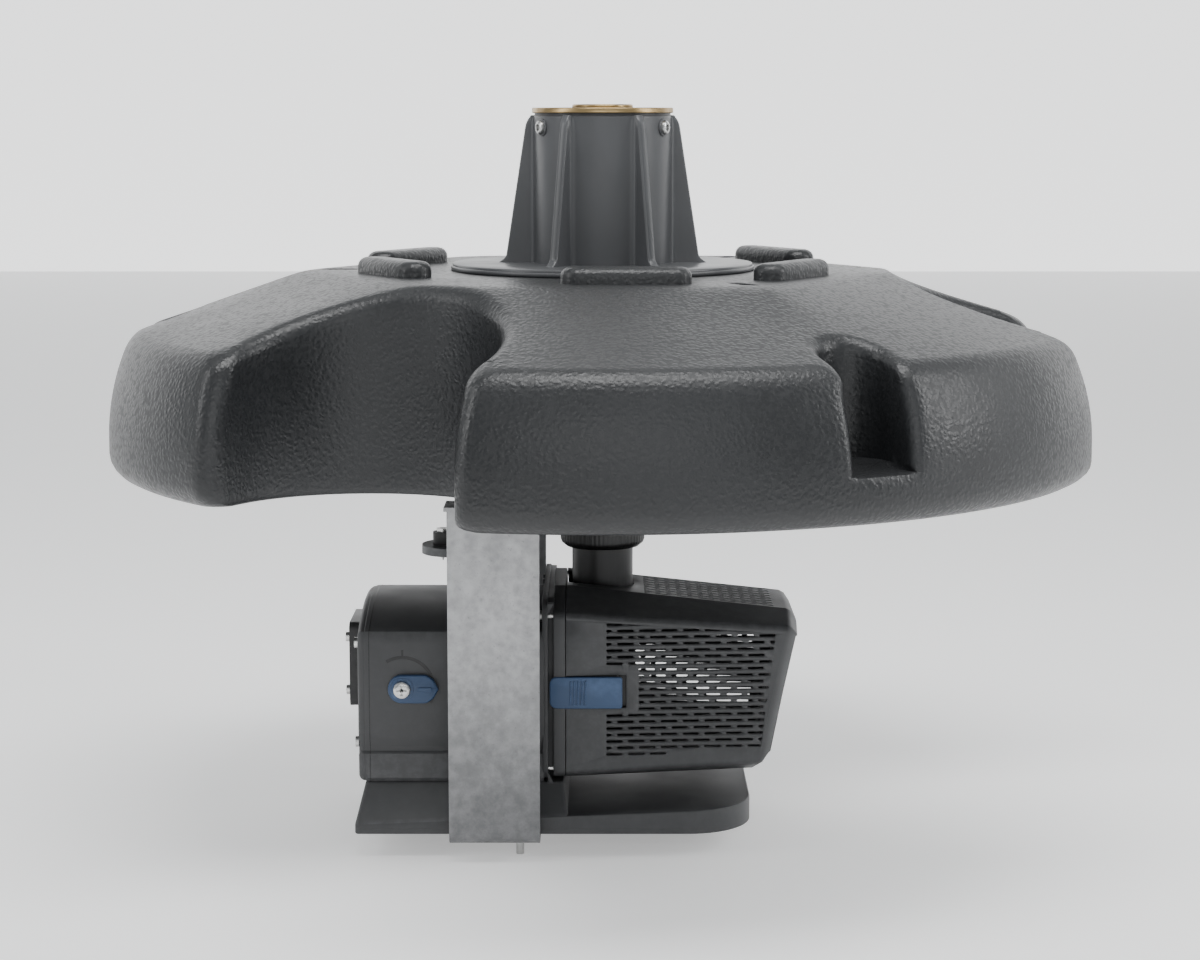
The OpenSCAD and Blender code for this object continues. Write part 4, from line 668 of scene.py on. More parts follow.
def float_outline(disc_r, grow, notch_share, notch_grow, n_rim=34):
    """The float's outline at one level, its rim shares, and 1 where a point belongs to a notch.

    notch_share moves the notch's points from the rim's circle (0) to the notch's own wall (1).
    """
    points, rim, notch = [], [], []
    for k in range(3):
        turn = SCALLOP_TURN + THIRD * k
        cuts = []
        for half, dist, at, corner in ((SCALLOP_HALF + grow, SCALLOP_DIST, turn, CORNER_ROUND),
                                       (NOTCH_HALF + notch_grow, NOTCH_DIST, turn + THIRD / 2, NOTCH_CORNER)):
            p, s, spread = cut_outline(half, dist, disc_r, corner)
            p = np.concatenate([p * [-1, 1], p[-2::-1]])
            s = np.concatenate([s, s[-2::-1]])
            if at != turn:
                along = np.linspace(-spread, spread, len(p))
                on_rim = np.stack([np.sin(np.radians(along)), np.cos(np.radians(along))], axis=1) * disc_r
                p = on_rim + (p - on_rim) * notch_share
                s = 1 + (s - 1) * notch_share
            a = math.radians(at)
            ax, ay = np.array([math.cos(a), math.sin(a)]), np.array([math.sin(a), -math.cos(a)])
            cuts.append((p[:, :1] * ax + p[:, 1:] * ay, s, at - spread, at + spread))
        for i, (p, s, _, end) in enumerate(cuts):
            points.append(p)
            rim.append(s)
            notch.append(np.full(len(p), float(i)))
            after = cuts[1][2] if i == 0 else cuts[0][2] + THIRD
            between = np.linspace(end, after, n_rim + 2)[1:-1]
            points.append(from_front(between, disc_r))
            rim.append(np.ones(n_rim))
            notch.append(np.zeros(n_rim))
    return np.concatenate(points), np.concatenate(rim), np.concatenate(notch)


def crease_rows(n):
    """Radius and height along the soft crease, from the leaning side to the top, by a quadratic curve."""
    start = np.array([side_radius(CREASE_H - CREASE_REACH), CREASE_H - CREASE_REACH])
    slope = (PLATEAU_H - CREASE_H) / (CREASE_R - APOTHEM - CREASE_EASE)
    middle = np.array([side_radius(CREASE_H + CREASE_UP), CREASE_H + CREASE_UP])
    end = middle + CREASE_REACH * np.array([-1.0, slope])
    t = np.linspace(0, 1, n)[:, None]
    return (1 - t) ** 2 * start + 2 * t * (1 - t) * middle + t ** 2 * end


def slot_ring(turn, grow):
    """Outline of one radial slot in the top, grown by that much."""
    p = stadium(SLOT_LENGTH + 2 * grow, SLOT_WIDTH + 2 * grow, 6)
    a = math.radians(turn)
    along, across = np.array([math.sin(a), -math.cos(a)]), np.array([math.cos(a), math.sin(a)])
    return (SLOT_R + p[:, :1]) * along + p[:, 1:] * across


def float_levels():
    """Levels from the underside up to the lip: rounded lower edge, wall with the notch's floor, and crease.

    Each has the rim's radius and height, the scallop's growth, the height in the cuts, how far the notch is
    open and the notch's growth.
    """
    levels = []
    for t in np.linspace(0, math.pi / 2, EDGE_ROWS):
        s, c = 1 - math.sin(t), 1 - math.cos(t)
        levels.append((FLOAT_R - SIDE_FILLET * s, SIDE_FILLET * c, LOWER_EDGE * s, LOWER_EDGE * c, 0.0, 0.0))
    levels += [(side_radius(h), h, 0.0, None, share, 0.0) for h, share in NOTCH_LEVELS]
    levels += [(side_radius(h), h, 0.0, None, 1.0, 0.0) for h in WALL_LEVELS]
    for (r, h), t in zip(crease_rows(LIP_ROWS), np.linspace(0, math.pi / 2, LIP_ROWS)):
        s, c = 1 - math.sin(t), 1 - math.cos(t)
        levels.append((r, h, LIP * c, -LIP * s, 1.0, NOTCH_LIP * c))
    return levels


def cut_wall(i, h, wall_h, roof, notch, straight_end):
    """Height of a level's points inside the scallops and notches, under a roof of that height."""
    if i < EDGE_ROWS:
        return np.full(len(roof), float(wall_h))
    if i >= straight_end:
        return roof + wall_h * np.where(notch > 0, NOTCH_LIP / LIP, 1.0)
    part = (i - EDGE_ROWS + 1) / (straight_end - EDGE_ROWS + 1)
    scallop_wall = LOWER_EDGE + (roof - LIP - LOWER_EDGE) * part
    up = max((h - NOTCH_OPEN) / (CREASE_H - NOTCH_OPEN), NOTCH_FIRST)
    notch_wall = h if h < NOTCH_RIM else NOTCH_FOOT + (roof - NOTCH_LIP - NOTCH_FOOT) * up
    return np.where(notch > 0, notch_wall, scallop_wall)


def side_grid():
    """Rows of points round the side from the underside to the lip, and their heights above the underside."""
    levels = float_levels()
    straight_end = len(levels) - LIP_ROWS
    grid, heights = [], []
    for i, (disc, h, grow, wall_h, share, notch_grow) in enumerate(levels):
        plan, rim, notch = float_outline(disc, grow, share, notch_grow)
        roof = top_height(plan[:, 0], plan[:, 1])
        wall = cut_wall(i, h, wall_h, roof, notch, straight_end)
        if i >= straight_end:
            t = (i - straight_end) / (LIP_ROWS - 1)
            away = plan / np.linalg.norm(plan, axis=1)[:, None]
            roof_end = top_height(*(away * levels[-1][0]).T)
            h = h + t * t * (roof_end - levels[-1][1]) + t * (roof - top_height(*(away * disc).T))
        z = rim * h + (1 - rim) * wall
        grid.append(np.column_stack([plan, z + FLOAT_Z]))
        heights.append(z)
    return grid, heights


def keyed(points):
    """Plan positions as keys of a dictionary, to a thousandth of a millimetre."""
    return list(map(tuple, np.round(np.asarray(points, float)[:, :2], 3)))


def float_skin():
    """The whole float skin: the side's rows, the sheets that close it and the well's wall."""
    grid, heights = side_grid()
    rim_line = grid[-1][:, :2]
    side_faces = grid_faces(len(grid), len(rim_line), closed_columns=True)
    side = (np.concatenate(grid), [f[::-1] for f in side_faces])
    well = from_front(np.linspace(360, 0, WELL_STEPS, endpoint=False), WELL_R)
    slots = [NOTCH_TURN + THIRD * k for k in range(3)]
    span, row = MESH_REACH + 1, MESH_STEP * ROW_SHARE
    gx, gy = np.meshgrid(np.arange(-MESH_REACH, span, MESH_STEP), np.arange(-MESH_REACH, span, row))
    gx = gx + (np.arange(gx.shape[0])[:, None] % 2) * MESH_STEP / 2
    inner = np.column_stack([gx.ravel(), gy.ravel()])
    keep = inside(inner, inset(rim_line, MESH_GAP)) & (np.hypot(inner[:, 0], inner[:, 1]) > WELL_R + 2)
    for turn in slots:
        keep &= ~inside(inner, slot_ring(turn, MESH_GAP))
    rings = [slot_ring(turn, grow) for turn in slots for grow, _ in SLOT_RINGS]
    fixed = {key: z for key, z in zip(keyed(rim_line), heights[-1])}
    for turn in slots:
        for grow, z in SLOT_RINGS:
            fixed.update((key, PLATEAU_H + z) for key in keyed(slot_ring(turn, grow)))
    low_rings = [slot_ring(turn, SLOT_RINGS[-1][0]) for turn in slots]

    def roof(p):
        """The top with its slots sunk, and the heights that the rim and the slots' rings already have."""
        z = top_height(p[:, 0], p[:, 1])
        for ring in low_rings:
            z = np.where(inside(p, ring), PLATEAU_H - SLOT_DEPTH, z)
        z = np.array([fixed.get(key, h) for key, h in zip(keyed(p), z)])
        return np.column_stack([p, z + FLOAT_Z])

    underside = panel(grid[0][:, :2], [well],
                      lambda p: np.column_stack([p, np.full(len(p), FLOAT_Z)]), flip=True)
    top = panel(rim_line, [well], roof, extra=inner[keep], rings=rings)
    ends = [np.column_stack([well, np.full(WELL_STEPS, FLOAT_Z + z)]) for z in (0.0, PLATEAU_H)]
    well_wall = (np.concatenate(ends), grid_faces(2, WELL_STEPS, closed_columns=True))
    return merged("float_skin", [side, underside, top, well_wall], slot="float_black", crease=38.0)


def top_bar(k, side):
    """One raised bar: a pill in plan under a low dome, its skirt sunk into the top."""
    outline = stadium(BAR_LENGTH, BAR_WIDTH, 10)
    rows = [(0.0, -BAR_SUNK), (0.0, BAR_WALL)]
    rows += [(BAR_EDGE * (1 - math.cos(t)), BAR_WALL + BAR_DOME * math.sin(t))
             for t in np.linspace(0.25, math.pi / 2, 7)]
    turn = math.radians(THIRD * k + (0 if side > 0 else THIRD / 2))
    x_dir, y_dir = np.array([math.cos(turn), math.sin(turn)]), np.array([math.sin(turn), -math.cos(turn)])
    parts = []
    for gap, z in rows:
        p = inset(outline, gap)
        plan = (p[:, :1] + side * BAR_SHIFT) * x_dir + (BAR_R - p[:, 1:]) * y_dir
        parts.append(np.column_stack([plan, np.full(len(p), z + PLATEAU_H + FLOAT_Z)]))
    return closed_loft(parts)


skin = float_skin()
merged("top_bars", [top_bar(k, side) for k in range(3) for side in (-1, 1)], slot="float_black", crease=45)
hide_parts("float_shell")

# Nozzle tower: a finned drum on a round stepped flange

FLANGE_TOP = FLOAT_Z + 149.5
DRUM_TOP = 218.0
DRUM_R = 51.0
FIN_HALF = 3.5
FIN_EDGE = 1.6
FIN_DRAFT = 0.35
FIN_FILLET = 4.0
FIN_REACH = 72.5
FIN_TAPER = 16.5
FIN_FLARE = 5.0
FLARE_H = 6.0
FIN_ROUND = 5.0
ROUND_H = 9.0
# Levels of the drum: above the flange, between, and below the top, then the top edge's inset and depth
FOOT_LEVELS = np.array([-1.5, 0.0, 1.0, 2.2, 3.6, 5.0, 6.5, 9.0])
HEAD_LEVELS = np.array([9.0, 7.0, 5.0, 3.5, 2.2, 1.4])
MIDDLE_UP, MIDDLE_DOWN = 20, 12
TOP_EDGE = ((0.2, 0.8), (0.6, 0.3), (1.2, 0.0))
# Screws near the drum's top, each on a round seat
SCREW_TURNS, SCREW_Z = (60, 180, 300), 209.0
SCREW_R, SCREW_HEAD, SCREW_OUT = 5.2, 3.4, 0.6
SEAT_R, SEAT_H, SEAT_SUNK = 6.4, 3.2, 2.2
RECESS_SHARE, CROSS_ARM, CROSS_GAP = 0.46, 0.3, 0.55
THREAD_R, THREAD_DEPTH = 16.6, 0.7
THREAD_TOP, THREAD_HALF_PITCH = 224.4, 1.15
# Profiles as radius and height, of the flange over the float's underside
FLANGE_PROFILE = [(30, 144.6), (112.4, 144.6), (112.9, 145.2), (112.9, 146.9), (112.5, 147.5), (111.6, 147.6),
                  (111.6, 149.0), (111.1, 149.45), (90, 149.5), (55, 149.5), (30, 149.5)]
GAP_SHADE_PROFILE = [(20, 217.5), (50.4, 217.5), (50.4, 219.6), (20, 219.6)]
COVER_PROFILE = [(20, 219.5), (51.7, 219.5), (52.3, 220.0), (52.3, 222.9), (51.8, 223.4), (51.0, 223.5),
                 (24.5, 223.5), (24.0, 223.3), (20, 223.3)]
SEAT_PROFILE = [(21.6, 223.0), (22.5, 223.6), (22.5, 225.0), (22.0, 225.7), (21.2, 226.0), (18.3, 226.0),
                (17.4, 225.6)]
BORE_PROFILE = [(16.4, 209.0), (0.02, 209.0)]


def fin_tip(z):
    """Outer reach of a fin at a height: a straight taper, flared at its foot and rounded at its top."""
    t = (z - FLANGE_TOP) / (DRUM_TOP - FLANGE_TOP)
    reach = FIN_REACH - FIN_TAPER * t + FIN_FLARE * np.clip(1 - (z - FLANGE_TOP) / FLARE_H, 0, 1) ** 2
    near_top = np.clip((z - DRUM_TOP + ROUND_H) / ROUND_H, 0, 1)
    return reach - FIN_ROUND * (1 - np.sqrt(1 - near_top ** 2))


def drum_outline(z):
    """One level of the drum: six fins joined to the round wall by fillets, their tips rounded across."""
    tip = fin_tip(z)
    fillet = min(FIN_FILLET, 0.8 * (tip - DRUM_R - 1.2))
    cx = math.sqrt((DRUM_R + fillet) ** 2 - (FIN_HALF + fillet) ** 2)
    touch = math.atan2(FIN_HALF + fillet, cx)
    half = []
    for a in np.linspace(math.pi / 6, touch, 9):
        half.append((DRUM_R * math.cos(a), DRUM_R * math.sin(a)))
    for a in np.linspace(math.pi + touch, 1.5 * math.pi, 6)[1:]:
        half.append((cx + fillet * math.cos(a), FIN_HALF + fillet + fillet * math.sin(a)))
    edge = FIN_EDGE
    for t in np.linspace(0, 1, 6)[1:]:
        half.append((cx + (tip - edge - cx) * t, FIN_HALF - FIN_DRAFT * t))
    for a in np.linspace(math.pi / 2, 0, 6)[1:]:
        half.append((tip - edge + edge * math.cos(a), (FIN_HALF - FIN_DRAFT - edge) + edge * math.sin(a)))
    half = np.array(half)
    return np.concatenate([half[:-1] * [1, -1], [[tip, 0.0]], half[::-1][:-1]])


def drum():
    """The finned wall, closed by a rounded top edge and a flat roof."""
    middle = np.linspace(FLANGE_TOP + MIDDLE_UP, DRUM_TOP - MIDDLE_DOWN, 9)
    levels = np.concatenate([FLANGE_TOP + FOOT_LEVELS, middle, DRUM_TOP - HEAD_LEVELS])
    rings = []
    for z in levels:
        sector = drum_outline(float(z))
        ring = []
        for k in range(6):
            a = math.radians(60 * k)
            ring.append(sector @ np.array([[math.cos(a), math.sin(a)], [-math.sin(a), math.cos(a)]]))
        rings.append(np.column_stack([np.concatenate(ring), np.full(6 * len(sector), z)]))
    last = rings[-1]
    for gap, z in TOP_EDGE:
        ring = last[:, :2] * (1 - gap / (DRUM_R + 1))
        rings.append(np.column_stack([ring, np.full(len(ring), DRUM_TOP - z)]))
    return closed_loft(rings)


wall = merged("nozzle_drum", [drum()], slot="tower_plastic", crease=40)
flange = turned("tower_flange", FLANGE_PROFILE, (0, 0, FLOAT_Z), steps=180, slot="tower_plastic", crease=50)
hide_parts("nozzle_housing")
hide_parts("nozzle_housing")


def socket_screw(name, place, axis, r, head, body="root", slot="stainless", slots="hex", **more):
    """A pan-headed screw whose head has a hexagonal or a cross-shaped recess."""
    side = RECESS_SHARE * r
    dome = [(0.98 * r, 0), (r, 0.25 * head), (0.93 * r, 0.7 * head), (0.75 * r, 0.92 * head),
            (0.58 * r, head)]
    recess = [(1.06 * side, head), (side, head - 0.3), (0.97 * side, 0.35 * head), (0.01, 0.3 * head)]
    profile = [(0.01, 0)] + dome + recess
    flat = [False] * (len(dome) + 1) + [True, True, True, False]
    if slots == "hex":
        return turned(name, profile, place, axis, steps=48, sides=6, sided=flat, body=body, slot=slot, **more)

    def cross(a, z):
        """Draws the recess in to a four-armed star."""
        star = np.where(np.abs(np.cos(2 * a)) > 0.80, CROSS_ARM * side, -CROSS_GAP * side)
        in_recess = np.arange(len(profile))[:, None] > len(dome)
        return np.where(in_recess, star, 0.0 * z)
    return turned(name, profile, place, axis, steps=96, wave=cross, body=body, slot=slot, **more)


for i, turn in enumerate(SCREW_TURNS):
    a = math.radians(turn)
    out = np.array([math.sin(a), -math.cos(a), 0.0])
    around = np.linspace(0, TURN, 40, endpoint=False)
    seat_line = SEAT_R * np.stack([np.cos(around), np.sin(around)], axis=1)
    seat = slab(f"tower_screw_seat_{i}", seat_line, 0, SEAT_H, 0.2, 0.6,
                out * (DRUM_R - SEAT_SUNK) + [0, 0, SCREW_Z], out, slot="tower_plastic")
    screw = socket_screw(f"tower_screw_{i}", out * (DRUM_R + SCREW_OUT) + [0, 0, SCREW_Z], out,
                         SCREW_R, SCREW_HEAD)
    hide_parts("housing_screws")
    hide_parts("nozzle_housing")

# A recessed black ring of painted shade fills the gap between the drum's top and the brass cover.
turned("ring_gap", GAP_SHADE_PROFILE, steps=96, slot="black_plastic")
ring = turned("brass_cover", COVER_PROFILE, steps=144, slot="brass", crease=50)
thread = [(THREAD_R + THREAD_DEPTH * (k % 2), THREAD_TOP - THREAD_HALF_PITCH * k) for k in range(12)]
hub = turned("brass_seat", SEAT_PROFILE + thread + BORE_PROFILE, steps=96, slot="brass", crease=60)
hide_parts("nozzle_ring")
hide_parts("nozzle_insert")

# Pump: housing, covers, foot and strap, each a lofted or extruded outline

SIDE_Y, TOP_Z, BASE_Z = 85.8, PUMP_Z + 62.5, PUMP_Z - 65.5


def two_sided(name, outline_xz, y_in, y_out, side, edge=0.5, steps=3, **more):
    """A plate on the front (side -1) or far side (+1), its outline in X and Z, from y_in out to y_out."""
    points, faces = slab_points(np.asarray(outline_xz, float), 0, y_out - y_in, 0.1, edge, steps)
    placed = np.stack([points[:, 0], -(points[:, 2] + y_in), points[:, 1]], axis=1)
    if side > 0:
        placed[:, 1] *= -1
        faces = [f[::-1] for f in faces]
    return piece(name, placed, faces, **more)


# Side of the motor housing above its ledge, as distance in from the widest side and height over the axis
SIDE_PROFILE = ((1.3, -44.5), (2.0, -43.4), (3.4, -42.6), (3.4, -41.0), (2.6, -38.0), (1.2, -34.0),
                (0.0, -29.0), (0.0, 38.0), (0.6, 42.5))
LEDGE_IN = 3.5
LEDGE_H = 3.0
SHOULDER_IN = 2.6
SHOULDER_Z = 46.6
CROWN_IN = 5.0
CROWN_H = 15.0
# Where the housing's parts begin and end along the motor
COVER_X0 = -179.0
COVER_X1 = -173.6
SEAM_X0 = -170.6
SEAM_X1 = -170.0
HOUSING_X0 = -174.0
HOUSING_X1 = -43.0
EAR_X0 = -44.0
EAR_X1 = -40.0
NECK_X0 = -40.5
NECK_X1 = -35.5
RIM_X0 = -36.0
RIM_X1 = -27.2
RIM = [(-85, -61), (-38, -73), (38, -73), (85, -61), (85, 60), (38, 72.6), (-38, 72.6), (-85, 60)]


def crown_section(reach):
    """Section of the motor housing: low ledge, hollow cove, flat side and a shallow crown."""
    y = SIDE_Y - reach
    half = [(y - LEDGE_IN, BASE_Z + reach), (y - SIDE_PROFILE[0][0], BASE_Z + LEDGE_H + reach)]
    half += [(y - gap, PUMP_Z + z) for gap, z in SIDE_PROFILE]
    half.append((y - SHOULDER_IN, PUMP_Z + SHOULDER_Z - 0.5 * reach))
    half += [(t * (y - CROWN_IN), TOP_Z - reach - CROWN_H * t * t) for t in np.linspace(0.98, 0, 20)]
    right = np.array(half)
    return np.concatenate([right, (right * [-1, 1])[::-1][1:]])


def box_outline(half_w, z0, z1, radius):
    """A rounded rectangle in Y and Z, its heights over the motor's axis."""
    return soft(rectangle(-half_w, PUMP_Z + z0, half_w, PUMP_Z + z1), radius, 6)


housing = end_slab("motor_body", crown_section(0.0), HOUSING_X0, HOUSING_X1, edge0=1.2, edge1=0.3, crease=28)
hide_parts("motor_housing")
cover = end_slab("rear_dome", crown_section(0.6), COVER_X0, COVER_X1, edge0=4.6, edge1=0.2, steps=6,
                 crease=28)
# A thin black band of painted shade stands for the shaded joint where the rear cover meets the housing.
seam_shade = end_slab("cover_seam_shade", crown_section(-0.12), SEAM_X0, SEAM_X1, edge0=0.1, edge1=0.1,
                slot="black_plastic")
for part in (cover, seam_shade):
    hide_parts("rear_cover")
flange_face = end_slab("ear_flange", box_outline(85.4, -65.6, 69.5, 12), EAR_X0, EAR_X1, 0.6, 0.4)
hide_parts("motor_housing")
neck = end_slab("carrier_neck", box_outline(77.5, -66, 69, 12), NECK_X0, NECK_X1, 0.3, 0.3)
rim_line = soft(np.array(RIM, float) + [0, PUMP_Z], 7, 5)
rim = end_slab("carrier_rim", rim_line, RIM_X0, RIM_X1, 0.9, 0.5, crease=40)
for part in (neck, rim):
    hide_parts("carrier_plate")


def strip(points, width):
    """A ribbon of that width along an open line, as a closed outline."""
    p = np.asarray(points, float)
    along = np.gradient(p, axis=0)
    along /= np.linalg.norm(along, axis=1)[:, None]
    off = np.stack([-along[:, 1], along[:, 0]], axis=1) * width / 2
    return np.concatenate([p - off, (p + off)[::-1]])


# Selector: a black strip of painted shade along the groove round the lever's travel, and the lever with its
# bar, boss and screw
LEVER = np.array([-146.0, PUMP_Z + 5.0])
LEVER_HALF = 10.5
GROOVE_R = 22.8
GROOVE_Y = 85.2
LEVER_Y0 = 86.3
LEVER_Y1 = 90.4
BOSS_Y = 89.9
LEVER_SCREW_Y = 90.9
LEVER_POINT = [(6, -LEVER_HALF), (17.5, -LEVER_HALF), (22.6, -7.2), (26.6, 0), (22.6, 7.2),
               (17.5, LEVER_HALF), (6, LEVER_HALF)]
POINT_ROUNDS = [0, 5, 5, 1.2, 5, 5, 0]
FRONT, ON_LEVER = (0, -1, 0), {"body": "selector", "slot": "blue_plastic"}
GUSSET_Y, GUSSET_Z, GUSSET_T = 76, 57, 7.0
WEB_X0, WEB_X1 = -40.4, -35.8
WEB_Z0, WEB_Z1 = 58, 67


def arc(radius, start, end, count):
    """Points round the lever's middle at a radius, between two angles in degrees."""
    a = np.radians(np.linspace(start, end, count))
    return radius * np.stack([np.cos(a), np.sin(a)], axis=1)


# The groove is not cut; a thin black strip of painted shade lies where its shaded hollow would be.
groove_line = LEVER + arc(GROOVE_R, -28, 120.7, 40)
groove_shade = two_sided("selector_groove_shade", strip(groove_line, 2.4), GROOVE_Y, GROOVE_Y + 0.75, -1, 0.1,
                   slot="black_plastic", steps=1)
tick_line = LEVER + np.stack([np.zeros(4), np.linspace(24, 28.4, 4)], axis=1)
tick = two_sided("selector_tick", strip(tick_line, 1.6), GROOVE_Y, GROOVE_Y + 0.78, -1, 0.1,
                 slot="black_plastic", steps=1)
for part in (groove_shade, tick):
    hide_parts("motor_housing")
lever_line = LEVER + np.concatenate([arc(LEVER_HALF, 92, 268, 26), soft(LEVER_POINT, POINT_ROUNDS, 4)])
lever = two_sided("lever_plate", lever_line, LEVER_Y0, LEVER_Y1, -1, 1.3, crease=45, **ON_LEVER)
bar = two_sided("lever_bar", LEVER + [16.5, 0] + stadium(11, 3.2, 6), BOSS_Y, 91.2, -1, 0.5, **ON_LEVER)
boss = turned("lever_boss", [(0.01, 0), (8.6, 0), (8.4, 1.0), (7.8, 1.2), (0.01, 1.2)],
              (LEVER[0], -BOSS_Y, LEVER[1]), FRONT, **ON_LEVER)
screw = socket_screw("lever_screw", (LEVER[0], -LEVER_SCREW_Y, LEVER[1]), FRONT, 6.5, 3.3, slots="cross")
for part in (lever, bar, boss):
    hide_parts("selector_lever")
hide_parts("selector_screw")
for y in (-GUSSET_Y, GUSSET_Y):
    for z in (-GUSSET_Z, GUSSET_Z):
        up = math.copysign(1, z)
        web = [(WEB_X0, PUMP_Z + up * WEB_Z0), (WEB_X1, PUMP_Z + up * WEB_Z1), (WEB_X0, PUMP_Z + up * WEB_Z1)]
        web = web if up > 0 else web[::-1]
        gusset = two_sided(f"gusset_{y}_{z}", web, GUSSET_Y, GUSSET_Y + GUSSET_T, math.copysign(1, y), 0.3)
        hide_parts("carrier_plate")

# Foot

FOOT_Z = low("foot_plate")[2]
# Plan, side band, tongue and skirt of the foot
FOOT_X0 = -180.6
FOOT_X1 = 109.6
FOOT_Y = 102.6
FOOT_ROUND = 47
BAND_LOW = 7.4
BAND_RISE = 10.6
BAND_X0 = -181
BAND_L = 266
TONGUE_Z = -75.6
TONGUE_LEAN = 0.0536
TONGUE_X = -27
TONGUE_IN = 33
SKIRT_X1 = -25.0
SKIRT_Y = 102.4
SKIRT_IN = 20.4
SKIRT_TOP = -66.0
BLEND_X0, BLEND_L = -60, 30
SKIRT_BACK, SKIRT_FRONT, SKIRT_ROUND = 6.6, 4.0, 2.5
# Levels of the skirt, as share of its height and how far it widens there
SKIRT_LEVELS = ((0.0, 0.0), (0.12, 0.3), (0.9, 0.0), (1.0, -0.4))


def foot_edge(x):
    """Height of the foot's side band: it grows towards the tongue's end."""
    return FOOT_Z + BAND_LOW + BAND_RISE * np.clip((x - BAND_X0) / BAND_L, 0, 1)


def tongue_top(x):
    """Height of the tongue's domed top; left of it, under the skirt, the top falls to the edge's height."""
    tongue = PUMP_Z + TONGUE_Z - TONGUE_LEAN * (x - TONGUE_X)
    share = np.clip((x - BLEND_X0) / BLEND_L, 0, 1)
    return foot_edge(x) + (tongue - foot_edge(x)) * share


def lofted(name, rows, **more):
    """A closed skin through equally long outlines, capped at both ends."""
    points, faces = closed_loft(rows)
    return piece(name, points, faces, **more)


foot_plan = soft([(FOOT_X0, -FOOT_Y), (FOOT_X1, -FOOT_Y), (FOOT_X1, FOOT_Y), (FOOT_X0, FOOT_Y)],
                 [3, FOOT_ROUND, FOOT_ROUND, 3], 14)


def foot_row(gap, height):
    """The foot's outline moved in by a gap, at the height that a function of x gives."""
    p = inset(foot_plan, gap)
    return np.column_stack([p, np.broadcast_to(height(p[:, 0]), (len(p),))])


foot_rows = [foot_row(1.0, lambda x: FOOT_Z), foot_row(0.3, lambda x: FOOT_Z + 0.3),
             foot_row(0, lambda x: FOOT_Z + 1.0), foot_row(0, lambda x: foot_edge(x) - 1.0),
             foot_row(0.3, lambda x: foot_edge(x) - 0.3), foot_row(1.0, foot_edge)]
for t in np.linspace(0.12, math.pi / 2, 9):
    s = math.sin(t)
    foot_rows.append(foot_row(1 + TONGUE_IN * (1 - math.cos(t)),
                              lambda x: foot_edge(x) * (1 - s) + tongue_top(x) * s))
foot = lofted("foot_base", foot_rows, crease=24)
skirt_rows = []
for t, wide in SKIRT_LEVELS:
    y = SKIRT_Y - (SKIRT_IN - wide) * t
    r = soft(rectangle(FOOT_X0 + SKIRT_BACK * t, -y, SKIRT_X1 - SKIRT_FRONT * t, y), SKIRT_ROUND, 4)
    skirt_rows.append(np.column_stack([r, (1 - t) * (foot_edge(r[:, 0]) - 0.5) + t * (PUMP_Z + SKIRT_TOP)]))
skirt = lofted("foot_skirt", skirt_rows, crease=28)
for part in (foot, skirt):
    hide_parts("foot_plate")

# Strap, knobs and pads

STRAP_HALF = 118.5
STRAP_REACH = 156.9
STRAP_TOP = -53.5
STRAP_LOW = -302.5
STRAP_X0 = -110.9
STRAP_X1 = -45.1
STRAP_T = 3.0
STRAP_BEND = 5.0
KNOB_X, KNOB_Y = -78, 143.3
KNOB_PROFILE = [(0.01, -66.0), (18, -66.0), (20.5, -65.2), (22, -63), (22.3, -58), (21.5, -55.6), (20, -55.1),
                (0.01, -55.1)]
PAD_PROFILE = [(0.01, -52), (21.8, -52), (22.8, -51), (22.8, -41), (21.8, -40.1), (0.01, -40.1)]
UNION_PROFILE = [(24, -103.8), (27.5, -103.8), (30.8, -101.0), (31.7, -98.5), (31.7, -61.5), (30.8, -60.2),
                 (24, -60.2)]
UNION_MIDDLE = -80.0
UNION_HALF = 18.6
UNION_RIBS = 60
RIB_DEPTH = 0.7
KNOB_LOBES = 9
LOBE_DEPTH = 0.6


def knob_lobes(a, z):
    """Shallow lobes round a knob, left off its lower face's edge."""
    return LOBE_DEPTH * np.cos(KNOB_LOBES * a) * (z > -65.5)


def union_ribs(a, z):
    """Fine upright grooves round the union nut between its end bands."""
    grooves = -RIB_DEPTH * np.clip(np.cos(UNION_RIBS * a), 0, 1)
    return np.where(np.abs(z - UNION_MIDDLE) < UNION_HALF, grooves, 0)


line = soft([(-STRAP_REACH, STRAP_TOP), (-STRAP_HALF, STRAP_TOP), (-STRAP_HALF, STRAP_LOW),
             (STRAP_HALF, STRAP_LOW), (STRAP_HALF, STRAP_TOP), (STRAP_REACH, STRAP_TOP)],
            STRAP_BEND, 6, closed=False)
strap = end_slab("strap_band", strip(line, STRAP_T), STRAP_X0, STRAP_X1, edge0=0.5, edge1=0.5,
                 slot="galvanised", crease=35)
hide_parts("support_strap")
for y in (-KNOB_Y, KNOB_Y):
    knob = turned(f"clamp_knob_{y:.0f}", KNOB_PROFILE, (KNOB_X, y, 0), steps=144, wave=knob_lobes,
                  slot="black_plastic", crease=45)
    pad = turned(f"strap_pad_{y:.0f}", PAD_PROFILE, (KNOB_X, y, 0), slot="rubber")
    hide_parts("clamp_knobs")
    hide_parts("strap_pads")
union = turned("union_ring", UNION_PROFILE, steps=240, wave=union_ribs, slot="pipe_black", crease=50)
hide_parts("union_nut")

# Strainer cage: flat panels with slots, joined by narrow curved strips, thickened inwards

CAGE_X0 = -26.6
CAGE_END_X = 125.5
CAGE_LEAN = 0.1975
CAGE_ROUND = 6
CAGE_WALL = 0.0026
CAGE_START = [(-85, -60.5), (-38, -73), (38, -73), (85, -60.5),
              (85, 59.5), (38, 72.8), (-38, 72.8), (-85, 59.5)]
CAGE_END = [(-74, -54.7), (-38, -66.6), (38, -66.6), (74, -54.7),
            (74, 48.1), (38, 55.4), (-38, 55.4), (-74, 48.1)]
# Rows of the rounded end, as distance in from the end's outline and distance past its plane
END_ROWS = ((2.0, 3.6), (8.0, 7.6), (10.0, 8.2))
